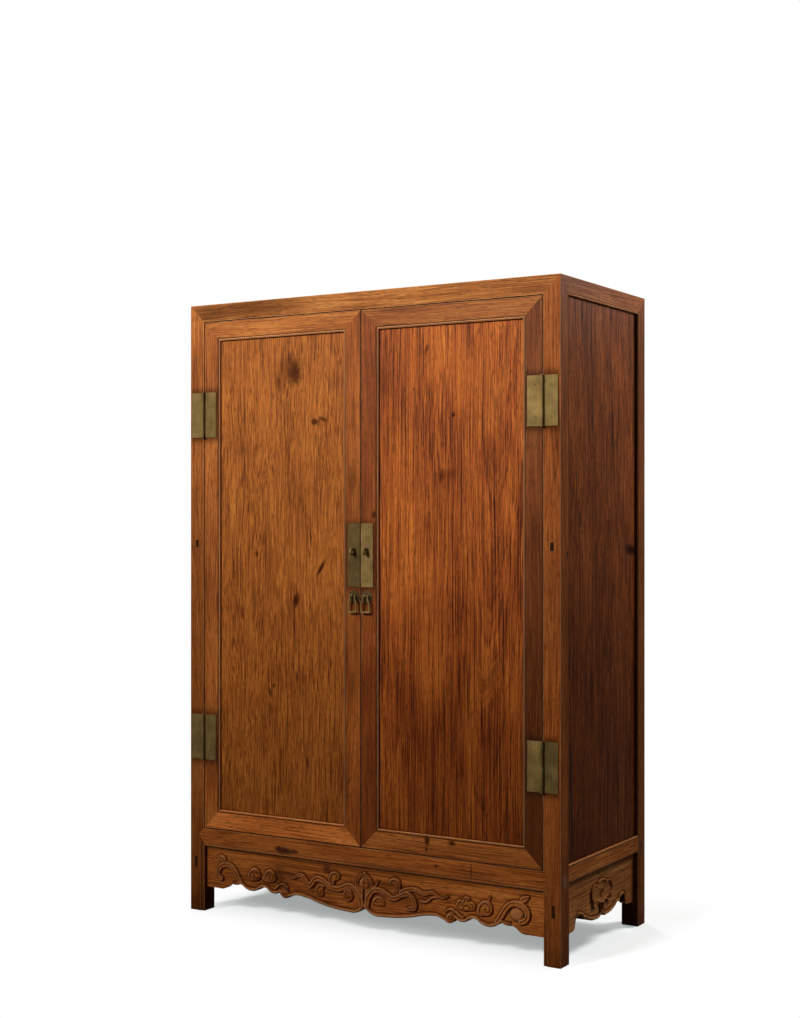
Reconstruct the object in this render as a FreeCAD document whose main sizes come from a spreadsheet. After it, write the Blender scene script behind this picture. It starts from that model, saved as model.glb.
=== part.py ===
"""A square-corner cabinet: mitred hardwood frame, floating panels, two doors and brass fittings.

Lengths are millimetres. X runs across the front, Y from the front to the back, and Z up from the floor.
Pieces are laid out with Y = 0 on the front face. Each one's Placement then moves it so that the origin
lies on the floor under the middle of the whole object, with the brass that stands proud of the front.
"""
import FreeCAD
import Part
import os
import re

doc = FreeCAD.newDocument("square_corner_cabinet")
sizes = doc.addObject("Spreadsheet::Sheet", "sizes")

SIZES = {
    # the whole cabinet
    "width": 1120, "depth": 508, "height": 1650, "post": 46, "top_rail": 46, "arris": 1.5, "proud": 20,
    # the three-way mitred top corners: two tenons on each post, one through tenon on each long rail
    "corner_tenon": 10, "corner_tenon_long": 26, "corner_tenon_short": 20,
    "crown_tenon_set": 32, "crown_tenon_thick": 12, "crown_tenon_drop": 32, "crown_tenon_high": 14,
    # the rails under the doors and under the sides, and the sunk strip along the apron's opening
    "front_rail_low": 177, "front_rail_high": 49, "side_rail_low": 195, "side_rail_high": 43,
    "rail_tenon_set": 16, "rail_tenon_thick": 15, "rail_tenon_ease": 7, "blind_tenon": 13,
    "strip_wide": 10, "strip_deep": 2.5, "shoulder_reach": 17, "shoulder_deep": 9, "rail_chamfer": 3,
    # the bead round every panel's opening, and the panels in their grooves
    "bead": 2.8, "bead_sink": 3.1, "bead_rebate": 6.6, "groove": 6, "tongue": 6, "panel_room": 0.5,
    "panel_set": 7.5, "panel_thick": 10, "top_panel_thick": 14, "floor_low": 206, "floor_thick": 12,
    # the battens behind the panels, each in a sliding dovetail
    "batten_wide": 32, "batten_thick": 12, "batten_tenon": 8, "batten_ease": 2.5,
    "dovetail_neck": 16, "dovetail_wide": 22, "dovetail_deep": 3.5,
    "side_batten_low": 600, "side_batten_high": 1310, "batten_spread": 190,
    # the shelf at mid height, behind the doors
    "shelf_low": 972, "shelf_high": 40, "shelf_deep": 30, "shelf_clear": 1, "shelf_back_set": 15,
    "shelf_tenon": 8, "shelf_tenon_low": 2, "shelf_tenon_high": 16,
    "shelf_side_tenon": 11, "shelf_side_tenon_low": 19, "shelf_side_tenon_high": 20,
    "shelf_board_set": 24, "shelf_board_thick": 14,
    # the aprons
    "apron_set": 11, "apron_thick": 18, "apron_tongue_set": 16, "apron_tongue_high": 7, "apron_stub": 12,
    "apron_tenon_set": 14, "apron_tenon_thick": 11, "apron_tenon_low": 117, "apron_tenon_high": 30,
    "back_apron_low": 96,
    # the doors
    "door_gap": 2.5, "meeting_gap": 2.5, "meeting_shift": -5.5, "door_thick": 30, "stile": 52,
    "door_panel_set": 6, "door_arris": 0.8, "door_tenon_set": 14, "door_tenon_wide": 24,
    "door_tenon_back": 17, "door_tenon_thick": 8, "door_tenon_stop": 8,
    # the hinges
    "hinge_lower": 414, "hinge_upper": 1289, "hinge_tall": 122, "leaf_wide": 41, "leaf_thick": 2,
    "leaf_clear": 5, "barrel": 4.5, "hinge_stand": 5, "pin": 2, "pin_bore": 2.05, "pin_head": 3.2,
    "pin_head_thick": 1.5, "knuckle_gap": 0.3, "tang": 1.5, "tang_long": 12, "tang_set": 15,
    # the lock plates and the lugs that a padlock goes through
    "lock_offset": 19.5, "plate_wide": 36.5, "plate_tall": 163, "plate_low": 893.5, "plate_thick": 1.8,
    "lug_level": 984, "lug_thick": 5, "lug_round": 9, "lug_eye": 4, "lug_shank_wide": 4, "lug_shank_tall": 8,
    "lug_root": 2,
    # the pulls
    "pull_level": 872, "pull_stand": 9, "pull_thick": 2.8, "rosette": 17, "rosette_drop": 4,
    "rosette_edge": 0.8, "rosette_rise": 2.2, "staple_wide": 3.6, "staple_ring": 3.9, "staple_bore": 2.4,
    "staple_shank": 3,
}
for row, (alias, number) in enumerate(SIZES.items(), 1):
    sizes.set(f"A{row}", alias)
    sizes.set(f"B{row}", str(number))
    sizes.setAlias(f"B{row}", alias)
doc.recompute()

SIDE = {-1: "left", 1: "right"}
END = {-1: "front", 1: "back"}
AXES = "xyz"
WORD = re.compile(r"[a-z_]+")

# Levels and lines that many pieces share, as formulas of the sheet's words.
UNDER_TOP = "(height - top_rail)"
FRONT_RAIL_TOP = "(front_rail_low + front_rail_high)"
SIDE_RAIL_TOP = "(side_rail_low + side_rail_high)"
SHELF_TOP = "(shelf_low + shelf_high)"
SHELF_FRONT = "(door_thick + shelf_clear)"
SHELF_BOARD_LOW = "(shelf_low + shelf_board_set)"
TOP_PANEL_LOW = "(height - top_panel_thick)"
PANEL_BACK = "(panel_set + panel_thick)"
DOOR_PANEL_BACK = "(door_panel_set + panel_thick)"
DOOR_LOW = f"({FRONT_RAIL_TOP} + door_gap)"
DOOR_HIGH = f"({UNDER_TOP} - door_gap)"
DOOR_TALL = f"({DOOR_HIGH} - {DOOR_LOW})"
DOOR_EDGES = {
    -1: ("(-width / 2 + post + door_gap)", "(meeting_shift - meeting_gap / 2)"),
    1: ("(meeting_shift + meeting_gap / 2)", "(width / 2 - post - door_gap)"),
}
DOOR_BATTENS = (0.2, 0.5, 0.8)
HINGE_LEVELS = ("hinge_lower", "hinge_upper")
# Where a hinge's barrel is split, and where its leaves' tangs are, as shares of its height.
KNUCKLE_SPLITS = (0, 0.15, 0.5, 0.85, 1)
TANG_LEVELS = (0.18, 0.81)

# The aprons' lower edges, from the middle outwards: distance from the middle and height above the floor.
# A step is an end point, or a point to pass and an end point for an arc.
FRONT_SCALLOPS = ((0, 72.4), (
    ((16, 59.6), (50, 55)), ((110, 60), (160, 70)), ((190, 76), (212, 77.5)), ((228, 73), (237, 69)),
    ((251, 65), (262, 70.5)), ((266.5, 74), (267, 79)), ((287, 72.5), (303, 78)), ((319, 85), (332, 80)),
    ((359, 70.7), (386, 79)), ((391, 82), (394.5, 86)), ((411, 80.5), (424.5, 81.5)), ((433, 79), (441, 73)),
    ((452, 66.5), (468, 65.5)),
))
SIDE_SCALLOPS = ((0, 79), (
    ((11, 71), (33, 69.5)), ((62, 72.5), (86, 80.5)), ((98, 86), (110, 85)), ((114, 94), (127, 98)),
    ((142, 95), (147, 85)), ((153, 73.5), (170, 67.5)),
))
APRON_END_LOW = 65
# A pull's frame, from the pivot down: half the outer line and half the opening, across and up.
PULL_OUTER = ((0, 1.4), (
    ((6.4, 1.4),), ((8.2, 0.7), (9, -1.2)), ((9, -9),), ((9.9, -12.8), (13, -15)), ((13.8, -38),),
    ((12.8, -42.6), (9, -43.8)), ((0, -43.8),),
))
PULL_OPENING = ((0, -1.4), (
    ((5.8, -1.4),), ((5.8, -10),), ((6.8, -14.8), (9.7, -17.4)), ((10.3, -37.4),),
    ((9.6, -39.6), (7.4, -40.3)), ((0, -40.3),),
))

nodes = []
joints = {}


def size(alias):
    """The number in the sheet's cell of that name."""
    return float(sizes.get(alias))


def bind(thing, prop, formula):
    """Tie one property to a formula written with the sheet's own words."""
    thing.setExpression(prop, WORD.sub(r"sizes.\g<0>", str(formula)))


def place(thing, spot):
    """Tie an object's position to three formulas."""
    for axis, formula in zip(AXES, spot):
        bind(thing, f"Placement.Base.{axis}", formula)


def box(name, start, extent):
    """A block from its lowest corner and its three extents."""
    made = doc.addObject("Part::Box", name)
    for prop, formula in zip(("Length", "Width", "Height"), extent):
        bind(made, prop, formula)
    place(made, start)
    return made


def rod(name, start, along, radius, length):
    """A round bar that runs from start along the axis x, y or z."""
    made = doc.addObject("Part::Cylinder", name)
    bind(made, "Radius", radius)
    bind(made, "Height", length)
    heading = FreeCAD.Vector(*(float(axis == along) for axis in AXES))
    made.Placement = FreeCAD.Placement(FreeCAD.Vector(), FreeCAD.Rotation(FreeCAD.Vector(0, 0, 1), heading))
    place(made, start)
    return made


def half_space(name, point, normal, span=400):
    """A block that fills the side of the plane through point to which normal points."""
    made = doc.addObject("Part::Box", name)
    made.Length = made.Width = made.Height = span
    turn = FreeCAD.Rotation(FreeCAD.Vector(0, 0, 1), FreeCAD.Vector(*normal))
    shift = turn.multVec(FreeCAD.Vector(-span / 2, -span / 2, 0))
    made.Placement = FreeCAD.Placement(FreeCAD.Vector(), turn)
    place(made, [f"({formula}) + ({offset:.6f})" for formula, offset in zip(point, shift)])
    return made


def unite(name, things):
    """The union of several objects."""
    made = doc.addObject("Part::MultiFuse", name)
    made.Shapes = things
    made.Refine = True
    return made


def carve(name, base, tools):
    """What is left of base once every tool is cut away."""
    made = doc.addObject("Part::Cut", name)
    made.Base = base
    made.Tool = tools[0] if len(tools) == 1 else unite(f"{name}_tools", tools)
    made.Refine = True
    return made


def node(thing, spot=("0", "0", "0")):
    """Keep an object as a finished piece, moved from the front face's frame to the cabinet's own."""
    place(thing, (spot[0], f"({spot[1]}) - (depth - proud) / 2", spot[2]))
    nodes.append(thing)


def group(name, things):
    """Keep several like solids as one finished piece."""
    made = doc.addObject("Part::Compound", name)
    made.Links = things
    node(made)


def eased_box(name, start, extent, edge, radius):
    """A block with one long edge rounded: the edge's axis, and the side it is on along the other two."""
    blank = box(f"{name}_blank", start, extent)
    blank.recompute()
    room = blank.Shape.BoundBox
    limits = {-1: (room.XMin, room.YMin, room.ZMin), 1: (room.XMax, room.YMax, room.ZMax)}
    axis, *sides = edge
    others = [i for i in range(3) if AXES[i] != axis]
    made = doc.addObject("Part::Fillet", name)
    made.Base = blank
    made.Edges = [
        (number, size(radius), size(radius)) for number, line in enumerate(blank.Shape.Edges, 1)
        if all(abs(line.CenterOfMass[i] - limits[side][i]) < 1e-6 for i, side in zip(others, sides))]
    return made


def beaded(name, bar, start, extent, along, face, inner):
    """A bar with a bead on the edge where its face meets its inner side.

    face and inner each give an axis and the side, -1 or 1, of the bar that they are on. The edge is
    rebated, and a round bead stands in the rebate a little below the face.
    """
    rebate_start, rebate_extent, centre = list(start), list(extent), list(start)
    for (axis, side), wide, middle in ((face, "bead_sink", "bead_sink"), (inner, "bead_rebate", "bead")):
        i = AXES.index(axis)
        edge = start[i] if side < 0 else f"{start[i]} + {extent[i]}"
        rebate_start[i] = edge if side < 0 else f"{edge} - {wide}"
        rebate_extent[i] = wide
        centre[i] = f"{edge} + {middle}" if side < 0 else f"{edge} - {middle}"
    rebate = box(f"{name}_rebate", rebate_start, rebate_extent)
    bead = rod(f"{name}_bead", centre, along, "bead", extent[AXES.index(along)])
    return unite(f"{name}_beaded", [carve(f"{name}_rebated", bar, [rebate]), bead])


def from_side(side, start, extent="0"):
    """The lower X of what starts that far in from the left or right face."""
    return f"-width / 2 + {start}" if side < 0 else f"width / 2 - ({start}) - ({extent})"


def from_end(end, start, extent="0"):
    """The lower Y of what starts that far in from the front or back face."""
    return f"{start}" if end < 0 else f"depth - ({start}) - ({extent})"


def corner_box(name, side, end, across, deep, up):
    """A block measured in from a corner's two outer faces: start and extent across, deep and up."""
    start = (from_side(side, *across), from_end(end, *deep), up[0])
    return box(name, start, (across[1], deep[1], up[1]))


def side_strip(name, side, across, up, inset="post"):
    """A block along a side of the cabinet that stops that far short of its front and back."""
    return box(name, (from_side(side, *across), inset, up[0]), (across[1], f"depth - 2 * ({inset})", up[1]))


def end_strip(name, end, deep, up, inset="post"):
    """A block along the front or back that stops that far short of the sides."""
    start = (from_side(-1, inset), from_end(end, *deep), up[0])
    return box(name, start, (f"width - 2 * ({inset})", deep[1], up[1]))


def slab(name, inset, front, back, up):
    """A level board: how far it stays in from the sides, from the front and from the back."""
    start = (from_side(-1, inset), front, up[0])
    return box(name, start, (f"width - 2 * ({inset})", f"depth - ({front}) - ({back})", up[1]))


def padded_body(name, plane, outlines, thickness, symmetric=False):
    """A body whose one sketch, of closed outlines on an origin plane, is given a thickness."""
    body = doc.addObject("PartDesign::Body", name)
    sketch = body.newObject("Sketcher::SketchObject", f"{name}_sketch")
    sketch.AttachmentSupport = [(next(f for f in body.Origin.OriginFeatures if f.Role == plane), "")]
    sketch.MapMode = "FlatFace"
    for closed_line in outlines:
        for piece in closed_line:
            sketch.addGeometry(piece)
    pad = body.newObject("PartDesign::Pad", f"{name}_pad")
    pad.Profile = sketch
    pad.SideType = "Symmetric" if symmetric else "One side"
    bind(pad, "Length", thickness)
    body.Tip = pad
    return body


def outline(start, steps):
    """Lines and arcs from start: a step is an end point, or a point to pass and an end point for an arc."""
    pieces = []
    here = FreeCAD.Vector(*start, 0)
    for step in steps:
        points = [FreeCAD.Vector(*point, 0) for point in step]
        pieces.append(Part.Arc(here, *points) if len(points) == 2 else Part.LineSegment(here, *points))
        here = points[-1]
    return pieces


def mirrored(start, steps):
    """A symmetric closed line from its right half, whose first and last points are on the middle line."""
    back = []
    here = start
    for step in steps:
        back.insert(0, [(-x, y) for x, y in (*step[:-1], here)])
        here = step[-1]
    return outline(start, [*steps, *back])


def dovetail(name, spot, into, way, along, length):
    """A sliding dovetail: narrow at the panel's face and wider inside it, carried along one axis."""
    made = doc.addObject("Part::Wedge", name)
    half_neck, half_wide = "dovetail_neck / 2", "dovetail_wide / 2"
    for prop, formula in {
        "Xmin": f"-{half_neck}", "Xmax": half_neck, "X2min": f"-{half_wide}", "X2max": half_wide,
        "Ymin": "0", "Ymax": "dovetail_deep", "Zmin": "0", "Z2min": "0", "Zmax": length, "Z2max": length,
    }.items():
        bind(made, prop, formula)
    deep = FreeCAD.Vector(*(way * float(axis == into) for axis in AXES))
    run = FreeCAD.Vector(*(float(axis == along) for axis in AXES))
    made.Placement = FreeCAD.Placement(FreeCAD.Vector(), FreeCAD.Rotation(deep.cross(run), deep, run, "ZXY"))
    place(made, spot)
    return made


def batten(name, along, run, into, way, face, middle):
    """A cross batten: a bar on a panel's inner face, its dovetail in the panel and a tenon at each end.

    It runs along one axis, run giving its start and length between the frame's members. The panel lies
    the given way along the axis into, with its inner face at face, and middle is on the third axis.
    """
    third = next(axis for axis in AXES if axis not in (along, into))

    def block(part, past_end, ease, wide):
        thick = f"(batten_thick - 2 * ({ease}))"
        start = {along: f"({run[0]}) - ({past_end})", third: f"({middle}) - ({wide}) / 2",
                 into: f"({face}) + ({ease})" if way < 0 else f"({face}) - ({ease}) - {thick}"}
        extent = {along: f"({run[1]}) + 2 * ({past_end})", third: wide, into: thick}
        return box(f"{name}_{part}", [start[axis] for axis in AXES], [extent[axis] for axis in AXES])

    bar = block("bar", "0", "0", "batten_wide")
    tenon = block("tenon", "batten_tenon", "batten_ease", "batten_wide - 4 * batten_ease")
    corner = {along: run[0], third: middle, into: face}
    key = dovetail(f"{name}_key", [corner[axis] for axis in AXES], into, way, along, run[1])
    return {"piece": unite(f"{name}_whole", [bar, tenon, key]), "tenon": tenon, "key": key}


def share_joints():
    """The blocks that are added to one piece and cut from its neighbour."""
    for end in END:
        shelf_deep = (SHELF_FRONT if end < 0 else "shelf_back_set", "shelf_tenon")
        joints["top_rail", end] = end_strip(
            f"crown_tenon_{END[end]}", end, ("crown_tenon_set", "crown_tenon_thick"),
            ("height - crown_tenon_drop", "crown_tenon_high"), "0")
        joints["rail", end] = end_strip(
            f"rail_tenon_{END[end]}", end, ("rail_tenon_set", "rail_tenon_thick"),
            ("front_rail_low + rail_tenon_ease", "front_rail_high - 2 * rail_tenon_ease"), "0")
        joints["shelf", end] = end_strip(
            f"shelf_tenon_{END[end]}", end, shelf_deep,
            ("shelf_low + shelf_tenon_low", "shelf_tenon_high"), "0")
        joints["apron", end] = end_strip(
            f"apron_tenon_{END[end]}", end, ("apron_tenon_set", "apron_tenon_thick"),
            ("apron_tenon_low", "apron_tenon_high"), "post - apron_stub")
        joints["apron_tongue", end] = end_strip(
            f"apron_tongue_{END[end]}", end, ("apron_tongue_set", "tongue"),
            ("front_rail_low", "apron_tongue_high"))
    for side in SIDE:
        joints["side_rail", side] = side_strip(
            f"rail_tenon_{SIDE[side]}", side, ("rail_tenon_set", "rail_tenon_thick"),
            ("side_rail_low + rail_tenon_ease", "side_rail_high - 2 * rail_tenon_ease"), "post - blind_tenon")
        joints["side_shelf", side] = side_strip(
            f"shelf_tenon_{SIDE[side]}", side, (PANEL_BACK, "shelf_side_tenon"),
            ("shelf_low + shelf_side_tenon_low", "shelf_side_tenon_high"), "0")
        joints["side_apron", side] = side_strip(
            f"apron_tenon_{SIDE[side]}", side, ("apron_tenon_set", "apron_tenon_thick"),
            ("apron_tenon_low", "apron_tenon_high"), "0")
        joints["side_apron_tongue", side] = side_strip(
            f"apron_tongue_{SIDE[side]}", side, ("apron_tongue_set", "tongue"),
            ("side_rail_low", "apron_tongue_high"))
        joints["shoulder", side] = pointed_shoulder(side)
    for side in SIDE:
        for end in END:
            up = ("height - top_rail - corner_tenon", "top_rail")
            joints["long_tenon", side, end] = corner_box(
                f"long_tenon_{SIDE[side]}_{END[end]}", side, end,
                ("corner_tenon_long", "corner_tenon"), ("corner_tenon", "corner_tenon"), up)
            joints["short_tenon", side, end] = corner_box(
                f"short_tenon_{SIDE[side]}_{END[end]}", side, end,
                ("corner_tenon", "corner_tenon"), ("corner_tenon_short", "corner_tenon"), up)


def pointed_shoulder(side):
    """The mitred point at an end of the front bottom rail, let into the post's face."""
    inner = side * (size("width") / 2 - size("post"))
    low = size("front_rail_low") + size("strip_wide")
    high = size("front_rail_low") + size("front_rail_high")
    tip = (inner + side * size("shoulder_reach"), (low + high) / 2)
    point = outline((inner, low), [[tip], [(inner, high)], [(inner, low)]])
    body = padded_body(f"shoulder_{SIDE[side]}", "XZ_Plane", [point], "shoulder_deep")
    place(body, ("0", "shoulder_deep", "0"))
    return body


def frame_battens():
    """The battens of the carcass, each kind shared with the panels and members that take them."""
    between_rails = ("post", "depth - 2 * post")
    between_shelf_rails = (f"{SHELF_FRONT} + shelf_deep", f"depth - {SHELF_FRONT} - 2 * shelf_deep")
    levels = {"low": "side_batten_low", "high": "side_batten_high"}
    for kind, run, face in (
            ("top", between_rails, TOP_PANEL_LOW), ("floor", between_rails, "floor_low"),
            ("shelf", between_shelf_rails, SHELF_BOARD_LOW)):
        joints["battens", kind] = [
            batten(f"{kind}_batten_{SIDE[side]}", "y", run, "z", 1, face, f"({side}) * batten_spread")
            for side in SIDE]
        group(f"{kind}_battens", [made["piece"] for made in joints["battens", kind]])
    for side in SIDE:
        joints["battens", side] = [
            batten(f"{SIDE[side]}_batten_{level}", "y", between_rails, "x", side,
                   from_side(side, PANEL_BACK), up)
            for level, up in levels.items()]
    group("side_battens", [made["piece"] for side in SIDE for made in joints["battens", side]])
    joints["battens", "back"] = [
        batten(f"back_batten_{level}", "x", (from_side(-1, "post"), "width - 2 * post"), "y", 1,
               from_end(1, PANEL_BACK), up)
        for level, up in levels.items()]
    group("back_battens", [made["piece"] for made in joints["battens", "back"]])


def tenons(kind):
    """The end tenons of one kind of batten."""
    return [made["tenon"] for made in joints["battens", kind]]


def keys(kind):
    """The dovetails of one kind of batten."""
    return [made["key"] for made in joints["battens", kind]]


def post(side, end):
    """A corner post: beaded on its side face, mitred at the top, mortised for all that it carries."""
    name = f"post_{END[end]}_{SIDE[side]}"
    corner = (from_side(side, "0", "post"), from_end(end, "0", "post"))
    bar = eased_box(f"{name}_bar", (*corner, "0"), ("post", "post", "height"), ("z", side, end), "arris")
    bead_low = f"({SIDE_RAIL_TOP} - bead_rebate)"
    bar = beaded(name, bar, (*corner, bead_low), ("post", "post", f"(height - {bead_low})"),
                 "z", ("x", side), ("y", -end))
    peak = (from_side(side, "0"), from_end(end, "0"), "height")
    tools = [
        half_space(f"{name}_mitre_long", peak, (-side, 0, 1)),
        half_space(f"{name}_mitre_short", peak, (0, -end, 1)),
        corner_box(f"{name}_side_groove", side, end, ("panel_set", "tongue"), ("post - groove", "groove"),
                   (f"{SIDE_RAIL_TOP} - groove", f"{UNDER_TOP} - {SIDE_RAIL_TOP} + 2 * groove")),
        joints["rail", end], joints["shelf", end], joints["apron", end],
        joints["side_rail", side], joints["side_shelf", side], joints["side_apron", side],
        *tenons(side)]
    if end < 0:
        tools.append(corner_box(f"{name}_strip", side, end, ("post - strip_wide", "strip_wide"),
                                ("0", "strip_deep"), ("0", "front_rail_low + strip_wide")))
        tools += [joints["shoulder", side], *joints["tangs", "post", side]]
    else:
        tall = f"{UNDER_TOP} - {FRONT_RAIL_TOP} + 2 * groove"
        tools.append(corner_box(f"{name}_back_groove", side, end, ("post - groove", "groove"),
                                ("panel_set", "tongue"), (f"{FRONT_RAIL_TOP} - groove", tall)))
        tools += tenons("back")
    carved = carve(f"{name}_carved", bar, tools)
    node(unite(name, [carved, joints["long_tenon", side, end], joints["short_tenon", side, end]]))


def mitred(name, bar, peak, *normals):
    """A bar cut back, one plane after the other, to the planes through a corner's peak."""
    for i, normal in enumerate(normals):
        bar = carve(f"{name}_mitred_{i}", bar, [half_space(f"{name}_mitre_{i}", peak, normal)])
    return bar


def top_rail_long(end):
    """The front or back top rail: mitred to the posts and side rails, with a through tenon at each end."""
    name = f"top_rail_{END[end]}"
    bar = eased_box(f"{name}_bar", (from_side(-1, "0"), from_end(end, "0", "post"), UNDER_TOP),
                    ("width", "post", "top_rail"), ("x", end, 1), "arris")
    for side in SIDE:
        peak = (from_side(side, "0"), from_end(end, "0"), "height")
        bar = mitred(f"{name}_{SIDE[side]}", bar, peak, (side, 0, -1), (side, -end, 0))
    tenoned = unite(f"{name}_tenoned", [bar, joints["top_rail", end]])
    tools = [end_strip(f"{name}_groove", end, ("post - groove", "groove"), (TOP_PANEL_LOW, "tongue"),
                       "post - groove"),
             *(joints["long_tenon", side, end] for side in SIDE), *tenons("top")]
    if end > 0:
        tools.append(end_strip(f"{name}_panel_groove", end, ("panel_set", "tongue"), (UNDER_TOP, "groove"),
                               "post - groove"))
    node(carve(name, tenoned, tools))


def top_rail_short(side):
    """A side's top rail: mitred at both ends, with the panel's bead along its lower edge."""
    name = f"top_rail_{SIDE[side]}"
    start = (from_side(side, "0", "post"), "0", UNDER_TOP)
    extent = ("post", "depth", "top_rail")
    bar = eased_box(f"{name}_bar", start, extent, ("y", side, 1), "arris")
    bar = beaded(name, bar, start, extent, "y", ("x", side), ("z", -1))
    tools = [
        side_strip(f"{name}_groove", side, ("post - groove", "groove"), (TOP_PANEL_LOW, "tongue"),
                   "post - groove"),
        side_strip(f"{name}_panel_groove", side, ("panel_set", "tongue"), (UNDER_TOP, "groove"),
                   "post - groove")]
    for end in END:
        peak = (from_side(side, "0"), from_end(end, "0"), "height")
        bar = mitred(f"{name}_{END[end]}", bar, peak, (0, end, -1), (-side, end, 0))
        tools += [joints["short_tenon", side, end], joints["top_rail", end]]
    node(carve(name, bar, tools))


def bottom_rail_long(end):
    """The front or back bottom rail, tenoned right through the posts. The front one is moulded."""
    name = f"bottom_rail_{END[end]}"
    bar = end_strip(f"{name}_bar", end, ("0", "post"), ("front_rail_low", "front_rail_high"))
    tools = [end_strip(f"{name}_floor_groove", end, ("post - groove", "groove"), ("floor_low", "tongue")),
             joints["apron_tongue", end], *tenons("floor")]
    added = [bar, joints["rail", end]]
    if end < 0:
        tools.append(end_strip(f"{name}_strip", end, ("0", "strip_deep"), ("front_rail_low", "strip_wide")))
        tools.append(half_space(f"{name}_chamfer", ("0", "strip_deep + rail_chamfer", "front_rail_low"),
                                (0, -1, -1), 2 * size("width")))
        added += [joints["shoulder", side] for side in SIDE]
    else:
        tools.append(end_strip(f"{name}_panel_groove", end, ("panel_set", "tongue"),
                               (f"{FRONT_RAIL_TOP} - groove", "groove")))
    node(carve(name, unite(f"{name}_tenoned", added), tools))


def bottom_rail_short(side):
    """A side's bottom rail, with blind tenons and the panel's bead along its upper edge."""
    name = f"bottom_rail_{SIDE[side]}"
    start = (from_side(side, "0", "post"), "post", "side_rail_low")
    extent = ("post", "(depth - 2 * post)", "side_rail_high")
    bar = beaded(name, box(f"{name}_bar", start, extent), start, extent, "y", ("x", side), ("z", 1))
    tools = [
        side_strip(f"{name}_panel_groove", side, ("panel_set", "tongue"),
                   (f"{SIDE_RAIL_TOP} - groove", "groove")),
        side_strip(f"{name}_floor_groove", side, ("post - groove", "groove"), ("floor_low", "tongue")),
        half_space(f"{name}_chamfer", (from_side(side, "rail_chamfer"), "depth / 2", "side_rail_low"),
                   (side, 0, -1), 2 * size("depth")),
        joints["side_apron_tongue", side]]
    node(carve(name, unite(f"{name}_tenoned", [bar, joints["side_rail", side]]), tools))


def shelf():
    """The shelf: four rails with through tenons and a board in their grooves."""
    front_inner = f"({SHELF_FRONT} + shelf_deep)"
    up = ("shelf_low", "shelf_high")
    board = (SHELF_BOARD_LOW, "tongue")
    for end in END:
        name = f"shelf_rail_{END[end]}"
        near = SHELF_FRONT if end < 0 else "0"
        bar = end_strip(f"{name}_bar", end, (near, "shelf_deep"), up)
        tools = [end_strip(f"{name}_groove", end, (f"{near} + shelf_deep - groove", "groove"), board),
                 *tenons("shelf")]
        if end > 0:
            for level, low in (("upper", f"{SHELF_TOP} - groove"), ("lower", "shelf_low")):
                groove_up = (low, "groove")
                tools.append(end_strip(f"{name}_groove_{level}", end, ("panel_set", "tongue"), groove_up))
        node(carve(name, unite(f"{name}_tenoned", [bar, joints["shelf", end]]), tools))
    for side in SIDE:
        name = f"shelf_rail_{SIDE[side]}"
        bar = side_strip(f"{name}_bar", side, (PANEL_BACK, f"post - {PANEL_BACK}"), up)
        groove = side_strip(f"{name}_groove", side, ("post - groove", "groove"), board)
        node(carve(name, unite(f"{name}_tenoned", [bar, joints["side_shelf", side]]), [groove]))
    boards = [
        slab("shelf_tongue_sides", "post - groove", f"{front_inner} - groove", "post", board),
        slab("shelf_tongue_ends", "post", f"{front_inner} - groove", "shelf_deep - groove", board),
        slab("shelf_field", "post + panel_room", f"{front_inner} + panel_room", "shelf_deep + panel_room",
             (SHELF_BOARD_LOW, "shelf_board_thick"))]
    node(carve("shelf_panel", unite("shelf_boards", boards), keys("shelf")))


def top_and_floor():
    """The top panel, flush with its frame, and the floor panel, notched round the posts."""
    top = [slab("top_tongue", "post - groove", "post - groove", "post - groove", (TOP_PANEL_LOW, "tongue")),
           slab("top_field", "post + panel_room", "post + panel_room", "post + panel_room",
                (TOP_PANEL_LOW, "top_panel_thick"))]
    node(carve("top_panel", unite("top_boards", top), keys("top")))
    floor = [slab("floor_tongue_sides", "post - groove", "post", "post", ("floor_low", "tongue")),
             slab("floor_tongue_ends", "post", "post - groove", "post - groove", ("floor_low", "tongue")),
             slab("floor_field", "post + panel_room", "post + panel_room", "post + panel_room",
                  ("floor_low", "floor_thick"))]
    node(carve("floor_panel", unite("floor_boards", floor), keys("floor")))


def side_panel(side):
    """A side panel: a thin tongue all round, and a thicker field between the frame's members."""
    name = f"side_panel_{SIDE[side]}"
    boards = []
    for part, thick, past in (("tongue", "tongue", "groove"), ("field", "panel_thick", "(-panel_room)")):
        boards.append(side_strip(
            f"{name}_{part}", side, ("panel_set", thick),
            (f"{SIDE_RAIL_TOP} - {past}", f"{UNDER_TOP} - {SIDE_RAIL_TOP} + 2 * {past}"), f"post - {past}"))
    node(carve(name, unite(f"{name}_boards", boards), keys(side)))


def back_panel(level, low, high, key):
    """One of the two back panels, from low to high between its rails."""
    name = f"back_panel_{level}"
    boards = []
    for part, thick, past in (("tongue", "tongue", "groove"), ("field", "panel_thick", "(-panel_room)")):
        boards.append(end_strip(f"{name}_{part}", 1, ("panel_set", thick),
                                (f"{low} - {past}", f"{high} - {low} + 2 * {past}"), f"post - {past}"))
    node(carve(name, unite(f"{name}_boards", boards), [key]))


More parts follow.
